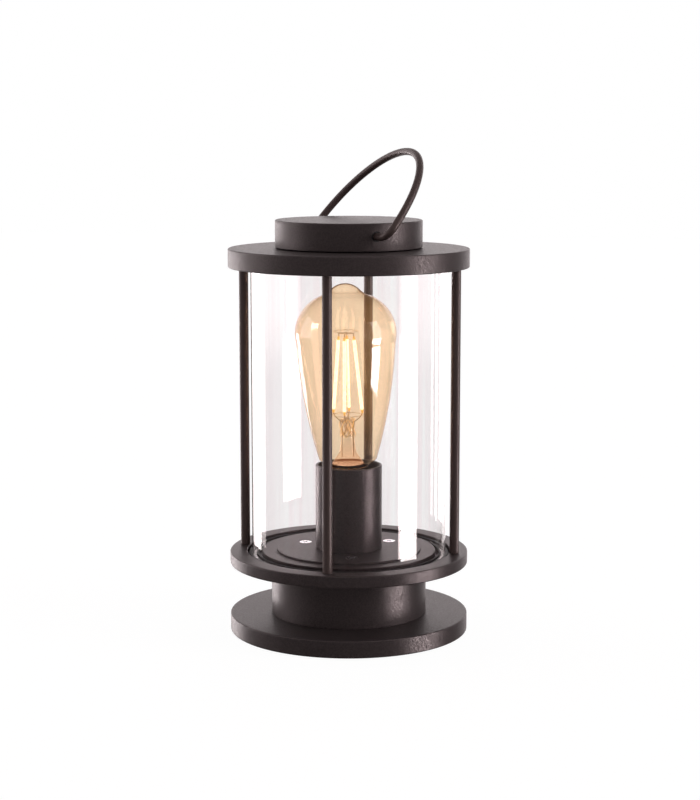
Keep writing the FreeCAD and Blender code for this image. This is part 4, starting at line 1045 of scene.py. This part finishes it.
@dataclass
class Holder:
    """The plate, the tube on it and the lampholder inside."""

    finishes: Finishes
    plate_low: float = 53.2
    plate_top: float = 54.4
    plate_radius: float = 47.0
    sleeve_radius: float = 21.6
    sleeve_bore: float = 19.9
    sleeve_top: float = 109.3
    deck: float = 78.0
    deck_thick: float = 4.0
    hollow_top: float = 63.0
    shell_radius: float = 14.3
    shell_bore: float = 13.75
    holder_top: float = 104.0

    def build(self) -> None:
        """Build and dress every piece of the holder."""
        self.plate()
        self.sleeve()
        self.well()
        self.shell()
        refinish(self.finishes.zinc, "plate_screws", "nipple_nut")
        refinish(self.finishes.brass, "holder_centre_contact", "holder_nipple")

    def plate(self) -> None:
        """The round plate with three countersunk holes."""
        low, high, over = self.plate_low, self.plate_top, self.plate_top + 0.3
        plate = lathe("holder_plate_sheet", [
            (5.2, low), (self.plate_radius, low, 0.2), (self.plate_radius, high, 0.35), (5.2, high),
        ], 192)
        holes = ring_of("sink_tool", [(0, low - 0.1), (2.8, low - 0.1), (4.2, high + 0.05), (4.2, over), (0, over)],
                        40, *PLATE_SCREWS, 3)
        dress(cut_away(plate, holes), self.finishes.coat, Body.LAMP, Slot.STEEL, "holder_plate")

    def sleeve(self) -> None:
        """The open tube round the lampholder."""
        low, top, inside = self.plate_top, self.sleeve_top, self.plate_top + 1.6
        wall = lathe("socket_tube", [
            (5.2, low), (self.sleeve_radius, low, 0.3), (self.sleeve_radius, top, 0.5), (self.sleeve_bore, top, 0.4),
            (self.sleeve_bore, inside), (5.2, inside),
        ], 128)
        dress(wall, self.finishes.coat, Body.LAMP, Slot.STEEL, "socket_sleeve")

    def well(self) -> None:
        """The moulded holder with its well and the rounded lip round its mouth."""
        low, top, deck, under = self.plate_top + 1.6, self.holder_top, self.deck, self.deck - self.deck_thick
        lip = lathe("holder_moulding", [
            (5.05, low), (18.9, low, 0.4), (18.9, top, 0.9), (14.4, top, 0.5), (14.4, deck), (0, deck),
            (0, under), (8, under), (8, self.hollow_top), (5.05, self.hollow_top),
        ], 96)
        dress(lip, self.finishes.black_plastic, Body.LAMP, Slot.PLASTIC, "lampholder_body")

    def shell(self) -> None:
        """The rolled screw shell."""
        low, high = self.deck + 1.5, self.holder_top - 1.5
        rows = int((high - low) / PITCH * 8)
        heights = [low + (high - low) * row / rows for row in range(rows + 1)]

        def rolled(angle: float, radius: float, height: float) -> float:
            """A shallow helical wave in the sheet."""
            return radius + 0.18 * math.cos(2 * math.pi * height / PITCH - angle)

        profile = [(self.shell_radius - 0.2, height) for height in heights]
        profile += [(self.shell_bore + 0.2, height) for height in reversed(heights)]
        thread = lathe("screw_shell", profile, 72, weighted=False, bulge=rolled)
        dress(thread, self.finishes.brass, Body.LAMP, Slot.BRASS, "holder_screw_shell")


@dataclass
class Bulb:
    """The filament bulb. Heights count from its centre contact."""

    finishes: Finishes
    contact: float = 81.5
    lean: float = 1.0
    lean_azimuth: float = -169.0
    radius: float = 32.2
    waist: float = 107.0
    length: float = 146.0
    neck: tuple[float, float] = (18.8, 31.5)
    shoulder: tuple[float, float] = (16.5, 137.8)
    dip: tuple[float, float] = (10.0, 141.3)
    azimuths: tuple[float, ...] = (-89.0, 11.0, 94.0, 166.0)
    foot: tuple[float, float] = (9.9, 61.5)
    head: tuple[float, float] = (5.1, 111.5)

    @property
    def frame(self) -> Matrix:
        """Where the bulb stands: on its contact, leaning a little."""
        azimuth = math.radians(self.lean_azimuth)
        axis = Vector((-math.sin(azimuth), math.cos(azimuth), 0))
        return Matrix.Translation((0, 0, self.contact * MM)) @ Matrix.Rotation(math.radians(self.lean), 4, axis)

    def build(self) -> None:
        """Build and dress every piece of the bulb."""
        self.envelope()
        self.cap()
        self.stem()
        self.filaments()
        self.wires()
        refinish(self.finishes.black_glass, "bulb_insulator")
        refinish(self.finishes.solder, "bulb_contact")
        refinish(self.finishes.board, "bulb_driver_board")

    def envelope(self) -> None:
        """The blown glass as one thin wall."""
        rise = self.length - self.dip[1]
        dome = (self.dip[0] ** 2 + rise ** 2) / (2 * rise)
        outline: Profile = [(12.6, 23.1), (12.6, 27.1)]
        outline += arc(outline[-1], self.neck, 60.0, 5)
        outline += arc(self.neck, (self.radius, self.waist), 330.0, 40)
        outline += arc((self.radius, self.waist), self.shoulder, 26.4, 24)
        outline += arc(self.shoulder, self.dip, -16.0, 8)
        outline += arc(self.dip, (0.0, self.length), dome, 10)
        outline[-1] = (0.0, self.length)
        wall = lathe("bulb_glass_wall", outline, 160, closed=False, at=self.frame, weighted=False)
        dress(wall, self.finishes.amber, Body.BULB, Slot.BULB_GLASS, "bulb_envelope")

    def cap(self) -> None:
        """The screw cap with its rolled thread."""
        low, high, rows = 9.0, 24.0, 34

        def rolled(angle: float, radius: float, height: float) -> float:
            """The thread, fading out at both ends of the cap."""
            fade = min(1.0, max(0.0, (height - 8.0) / 2), max(0.0, (25.0 - height) / 2))
            return radius + 0.22 * fade * (math.cos(2 * math.pi * height / PITCH - angle) - 1)

        profile: Profile = [(9.0, 4.6), (12.6, 7.7), (13.0, 8.4)]
        profile += [(13.05, low + (high - low) * row / rows) for row in range(rows + 1)]
        profile += [(13.05, 25.0), (13.0, 27.0), (12.72, 27.0), (12.72, 25.0), (12.4, 9.0), (9.0, 5.1)]
        sheet = lathe("bulb_cap_sheet", profile, 96, at=self.frame, weighted=False, bulge=rolled)
        dress(sheet, self.finishes.cap, Body.BULB, Slot.CAP, "bulb_cap")

    def stem(self) -> None:
        """The glass stem: flare, tube, pinch and post."""
        glass = lathe("bulb_stem_glass", [
            (0, 28.5), (10.5, 28.5, 0.3), (9.2, 30.4, 1.5), (5.4, 36.0, 4.0), (4.1, 46.0, 3.0), (4.4, 53.0, 2.0),
            (3.0, 57.6, 1.5), (0.8, 58.6, 0.4), (0.8, 114.0, 0.5), (0, 114.6),
        ], 48, closed=False, at=self.frame, weighted=False, steps=5)
        dress(glass, self.finishes.stem, Body.BULB, Slot.STEM_GLASS, "bulb_stem")

    def spot(self, place: tuple[float, float], azimuth: float) -> Vector:
        """A place on the bulb from (radius, height) and an azimuth."""
        angle = math.radians(azimuth)
        return Vector((place[0] * math.cos(angle), place[0] * math.sin(angle), place[1]))

    def filaments(self) -> None:
        """Four coated sticks with bare, hot ends."""
        coated, hot, bare = self.finishes.phosphor, self.finishes.hot_end, 2.4
        sticks = []
        for azimuth in self.azimuths:
            low = self.spot(self.foot, azimuth)
            run = self.spot(self.head, azimuth) - low
            at = self.frame @ Matrix.Translation(low * MM) @ run.to_track_quat("Z", "Y").to_matrix().to_4x4()
            for radius, edge, first, last, segments, material in (
                    (1.1, 0.6, 2.2, run.length - 2.2, 20, coated), (0.75, 0.3, 0.0, bare, 14, hot),
                    (0.75, 0.3, run.length - bare, run.length, 14, hot)):
                stick = lathe("stick", [(0, first), (radius, first, edge), (radius, last, edge), (0, last)],
                              segments, closed=False, at=at, weighted=False)
                stick.data.materials.append(material)
                sticks.append(stick)
        dress(joined("filament_sticks", sticks), coated, Body.BULB, Slot.FILAMENT, "bulb_filaments")

    def wires(self) -> None:
        """Support wires, a hoop at each end of the filaments and the tangle of leads over the pinch, one loop of which
        has a painted glow.
        """
        plain, bright = self.finishes.wire, self.finishes.hot_end
        runs = []
        for azimuth in self.azimuths:
            low, high = self.spot(self.foot, azimuth), self.spot(self.head, azimuth)
            pinch = self.spot((3.0, 55.0), azimuth)
            knee = self.spot((6.6, 57.4), azimuth)
            bent = (knee + low) / 2 + Vector((0, 0, -0.6))
            runs.append((0.26, plain, [pinch, (pinch + knee) / 2, knee, bent, low]))
            hub = self.spot((0.9, 113.4), azimuth)
            lift = self.spot((self.head[0], self.head[1] + 1.8), azimuth)
            runs.append((0.24, plain, [high, (high + lift) / 2, lift, (lift + hub) / 2, hub]))
        for reach, height in ((7.8, 114.9), (9.9, 60.3)):
            hoop = [self.spot((reach, height + 0.3 * (turn % 2)), 15.0 * turn) for turn in range(25)]
            runs.append((0.16, plain, hoop))
        for number, phase in enumerate((0.0, 2.1, 4.2)):
            tangle = []
            for turn in range(15):
                reach = 4.0 + 1.4 * math.sin(2.3 * turn + phase)
                height = 52.0 + 6.2 * math.sin(1.7 * turn + 1.3 * phase)
                tangle.append(self.spot((reach, height), 61.0 * turn + 40.0 * number))
            # The first loop takes the glowing filament-end finish: a painted glow on a lead that gives no light.
            runs.append((0.13, plain if number else bright, tangle))
        for azimuth in (-170.0, 10.0):
            lead = [self.spot(place, azimuth) for place in ((3.6, 50.0), (3.7, 42.0), (3.8, 33.0))]
            runs.append((0.3, plain, lead))
        wires = []
        for radius, material, run in runs:
            wires.append(tube("wire", smooth_line(run), radius, 8, self.frame))
            wires[-1].data.materials.append(material)
        dress(joined("support_wires", wires), plain, Body.BULB, Slot.WIRE, "bulb_support_wires")


def smooth_line(points: Sequence[Vector], steps: int = 6) -> list[Vector]:
    """A smooth line through points.

    Args:
        points: The points it goes through.
        steps: New points for each stretch.

    Returns:
        Its points.
    """
    line: list[Vector] = []
    count = len(points)
    for index in range(count - 1):
        before = points[max(index - 1, 0)]
        start, end = points[index], points[index + 1]
        after = points[min(index + 2, count - 1)]
        for step in range(steps):
            share = step / steps
            pull = (end - before) / 2
            push = (after - start) / 2
            square, cube = share * share, share ** 3
            line.append(start * (2 * cube - 3 * square + 1) + pull * (cube - 2 * square + share)
                        + end * (3 * square - 2 * cube) + push * (cube - square))
    line.append(points[-1])
    return line


@dataclass
class Lid:
    """The lid with its bayonet ring and the bushes of the bail."""

    finishes: Finishes
    radius: float = 47.3
    bore: float = 44.5
    low: float = 250.9
    top: float = 268.3
    roof: float = 3.0

    def build(self) -> None:
        """Build and dress every piece of the lid."""
        self.shell()
        refinish(self.finishes.coat, "bayonet_ring")
        refinish(self.finishes.black_oxide, "bayonet_screws", "bail_spring_washers")
        refinish(self.finishes.silicone, "lid_seal")
        refinish(self.finishes.black_plastic, "bail_bushes")

    def shell(self) -> None:
        """The turned cap, with the two holes of the bail."""
        inside = self.top - self.roof
        cap = lathe("lid_cap", [
            (self.bore, self.low), (self.radius, self.low, 0.3), (self.radius, self.top, 0.8), (0, self.top),
            (0, inside), (self.bore, inside, 0.5),
        ], 192)
        turn, pivot = HINGE
        side = shift(0, turn, pivot) @ Matrix.Rotation(math.pi / 2, 4, "Y")
        hole = lathe("pivot_tool", [(0, -60), (3.4, -60), (3.4, 60), (0, 60)], 40, closed=False, at=side)
        bosses = ring_of("boss", [(0, 253.6), (4, 253.6), (4, 265.4), (0, 265.4)], 24, 30, turn + 30, 3)
        whole = joined("lid_cap_whole", [cut_away(cap, [hole]), *bosses])
        dress(whole, self.finishes.coat, Body.LID, Slot.CASTING, "lid_shell")


@dataclass
class Bail:
    """The bail of round wire, leaning as it stands."""

    finishes: Finishes
    wire: float = 2.35
    radius: float = 62.59
    rise: float = 2.7
    bend: float = 8.0
    end: float = 40.5
    lean: float = 38.6

    def build(self) -> None:
        """Build and dress the bail."""
        reach = self.radius - self.bend
        drop = self.bend - self.rise
        out = math.sqrt(reach ** 2 - drop ** 2)
        slope = math.asin(drop / reach)
        half = [Vector((self.end, 0)), Vector(((self.end + out) / 2, 0)), Vector((out - 0.4, 0))]
        for step in range(13):
            angle = -math.pi / 2 + (math.pi / 2 + slope) * step / 12
            half.append(Vector((out + self.bend * math.cos(angle), self.bend + self.bend * math.sin(angle))))
        for step in range(1, 41):
            angle = slope + (math.pi / 2 - slope) * step / 40
            half.append(Vector((self.radius * math.cos(angle), self.rise + self.radius * math.sin(angle))))
        right = [Vector((point.x, 0, point.y)) for point in half]
        left = [Vector((-point.x, 0, point.z)) for point in reversed(right[:-1])]
        turn, pivot = HINGE
        at = shift(0, turn, pivot) @ Matrix.Rotation(math.radians(-self.lean), 4, "X")
        wire = tube("bail_wire", right + left, self.wire, 32, at)
        # The bail takes the coat with painted warm light.
        dress(wire, self.finishes.painted_warm_rod_coat, Body.BAIL, Slot.STEEL, "bail")
        refinish(self.finishes.black_oxide, "bail_clips")


# ---------------------------------------------------------------------------
# Studio
# ---------------------------------------------------------------------------


@dataclass
class Studio:
    """Floor, backdrop, soft panels and camera; the world is the only light.

    A panel lies between two bearings, has a soft edge, and lies between two rises, all in degrees and counted from
    the camera towards its right; its strength comes last. The backdrop fades downwards between the two sines of
    rise of the skyline. The floor glows by floor_glow in a share of floor_share, and takes shadows in the rest.
    """

    azimuth: float = 10.98
    distance: float = 1.2238
    height: float = 0.33456
    pitch: float = 8.5
    lens: float = 85.90
    shift_x: float = 0.0015
    sky: float = 0.25
    backdrop: float = 2.1
    skyline: tuple[float, float] = (-0.27, -0.08)
    tone: Colour = (1.0, 0.93, 0.935)
    floor_glow: float = 1.175
    floor_share: float = 0.82
    panels: tuple[tuple[float, ...], ...] = (
        (64.0, 87.0, 1.0, -20.0, -6.9, 22.0),
        (64.0, 87.0, 1.0, -6.9, 36.0, 3.8),
        (-150.0, -127.0, 1.0, -16.5, -4.0, 8.5),
        (-131.0, -84.0, 1.5, -7.0, 28.0, 2.2),
    )

    def build(self) -> None:
        """Build the whole studio."""
        self.world()
        self.floor()
        self.camera()
        bpy.context.scene.view_settings.view_transform = "Standard"

    def spot(self, azimuth: float, distance: float, height: float) -> Vector:
        """A place round the lamp; the azimuth counts from the camera towards its right."""
        angle = math.radians(self.azimuth + azimuth)
        return Vector((math.sin(angle) * distance, -math.cos(angle) * distance, height))

    def world(self) -> None:
        """White to the eye and through glass; to other rays a pale backdrop and soft panels at both sides."""
        world = bpy.data.worlds.new("studio")
        bpy.context.scene.world = world
        world.use_nodes = True
        tree = Nodes(world.node_tree)

        def step(value: Socket, low: float, high: float, least: float, most: float) -> Socket:
            """A smooth step of a value between two levels."""
            return tree.ramp(value, low, high, least, most, "SMOOTHSTEP")

        def both(first: Socket, second: Socket, kind: str = "MULTIPLY") -> Socket:
            """Combine two values."""
            return tree.math(kind, first, second)

        turn = tree.add("VectorRotate", {"Vector": tree.add("TexCoord").outputs["Generated"],
                                         "Angle": -math.radians(self.azimuth)}, rotation_type="Z_AXIS")
        right, away, up = tree.add("SeparateXYZ", {"0": turn.outputs[0]}).outputs
        bearing = both(right, both(away, -1.0), "ARCTAN2")

        def panel(first: float, last: float, soft: float, low: float, high: float, strength: float) -> Socket:
            """A soft-edged panel between two bearings and two rises in degrees.

            Args:
                first: Bearing of its left edge.
                last: Bearing of its right edge.
                soft: Half the width of its soft edges.
                low: Rise of its foot.
                high: Rise of its head.
                strength: Its light.

            Returns:
                Its light in each direction.
            """
            start = step(bearing, math.radians(first - soft), math.radians(first + soft), 0.0, strength)
            end = step(bearing, math.radians(last - soft), math.radians(last + soft), 1.0, 0.0)
            foot = step(up, math.sin(math.radians(low - soft)), math.sin(math.radians(low + soft)), 0.0, 1.0)
            head = step(up, math.sin(math.radians(high - soft)), math.sin(math.radians(high + soft)), 1.0, 0.0)
            return both(both(start, end), both(foot, head))

        behind = both(step(away, 0.55, 0.93, 0.0, self.backdrop), step(up, 0.25, 0.5, 1.0, 0.2))
        behind = both(behind, step(up, *self.skyline, 0.62, 1.0))
        light = both(behind, step(up, *self.skyline, 0.06, 0.28), "MAXIMUM")
        for piece in self.panels:
            light = both(light, panel(*piece), "MAXIMUM")
        light = both(light, step(up, 0.5, 1.0, 0.0, self.sky), "MAXIMUM")
        path = tree.add("LightPath").outputs
        seen = both(path["Is Camera Ray"], path["Is Transmission Ray"], "MAXIMUM")
        dim = tree.add("Background", {"Color": (*self.tone, 1.0), "Strength": light})
        white = tree.add("Background", {"Color": (1.0, 1.0, 1.0, 1.0)})
        mixed = tree.add("MixShader", {"0": seen, "1": dim.outputs[0], "2": white.outputs[0]})
        tree.add("OutputWorld", {"Surface": mixed.outputs[0]})

    def floor(self) -> None:
        """A pale floor that looks white and still takes a faint shadow."""
        tree = Tree("pale_floor")
        matt = tree.add("BsdfDiffuse", {"Color": (0.5, 0.49, 0.49, 1.0)})
        bright = tree.add("Emission", {"Color": (1.0, 1.0, 1.0, 1.0), "Strength": self.floor_glow})
        path = tree.add("LightPath").outputs
        seen = tree.math("MAXIMUM", path["Is Camera Ray"], path["Is Transmission Ray"])
        share = tree.ramp(seen, 0.0, 1.0, 0.0, self.floor_share)
        mixed = tree.add("MixShader", {"Fac": share, "1": matt.outputs[0], "2": bright.outputs[0]})
        open_air = tree.add("BsdfTransparent", {"Color": (1.0, 1.0, 1.0, 1.0)})
        mirrored = tree.add("MixShader", {"Fac": path["Is Glossy Ray"], "1": mixed.outputs[0],
                                          "2": open_air.outputs[0]})
        mesh = bpy.data.meshes.new("floor")
        mesh.from_pydata([(-4, -4, 0), (4, -4, 0), (4, 4, 0), (-4, 4, 0)], [], [(0, 1, 2, 3)])
        mesh.materials.append(tree.done(mirrored.outputs[0]))
        floor = linked("floor", mesh)

    def camera(self) -> None:
        """The camera, slightly above and a little to the right of the front rod."""
        data = bpy.data.cameras.new("camera")
        data.lens = self.lens
        data.sensor_width = 36.0
        data.shift_x = self.shift_x
        data.clip_start = 0.05
        data.clip_end = 20.0
        camera = linked("camera", data)
        camera.location = self.spot(0.0, self.distance, self.height)
        angle, pitch = math.radians(self.azimuth), math.radians(self.pitch)
        back = Vector((math.sin(angle) * math.cos(pitch), -math.cos(angle) * math.cos(pitch), math.sin(pitch)))
        camera.rotation_mode = "QUATERNION"
        camera.rotation_quaternion = (-back).to_track_quat("-Z", "Y")
        bpy.context.scene.camera = camera


def main() -> None:
    """Build the lamp and the studio."""
    logging.basicConfig(level=logging.INFO, format="%(message)s")
    finishes = Finishes()
    for assembly in (Base(finishes), Cage(finishes), Holder(finishes), Bulb(finishes), Lid(finishes), Bail(finishes)):
        LOG.info("building the %s", type(assembly).__name__.lower())
        assembly.build()
    Studio().build()


if __name__ == "__main__":
    main()
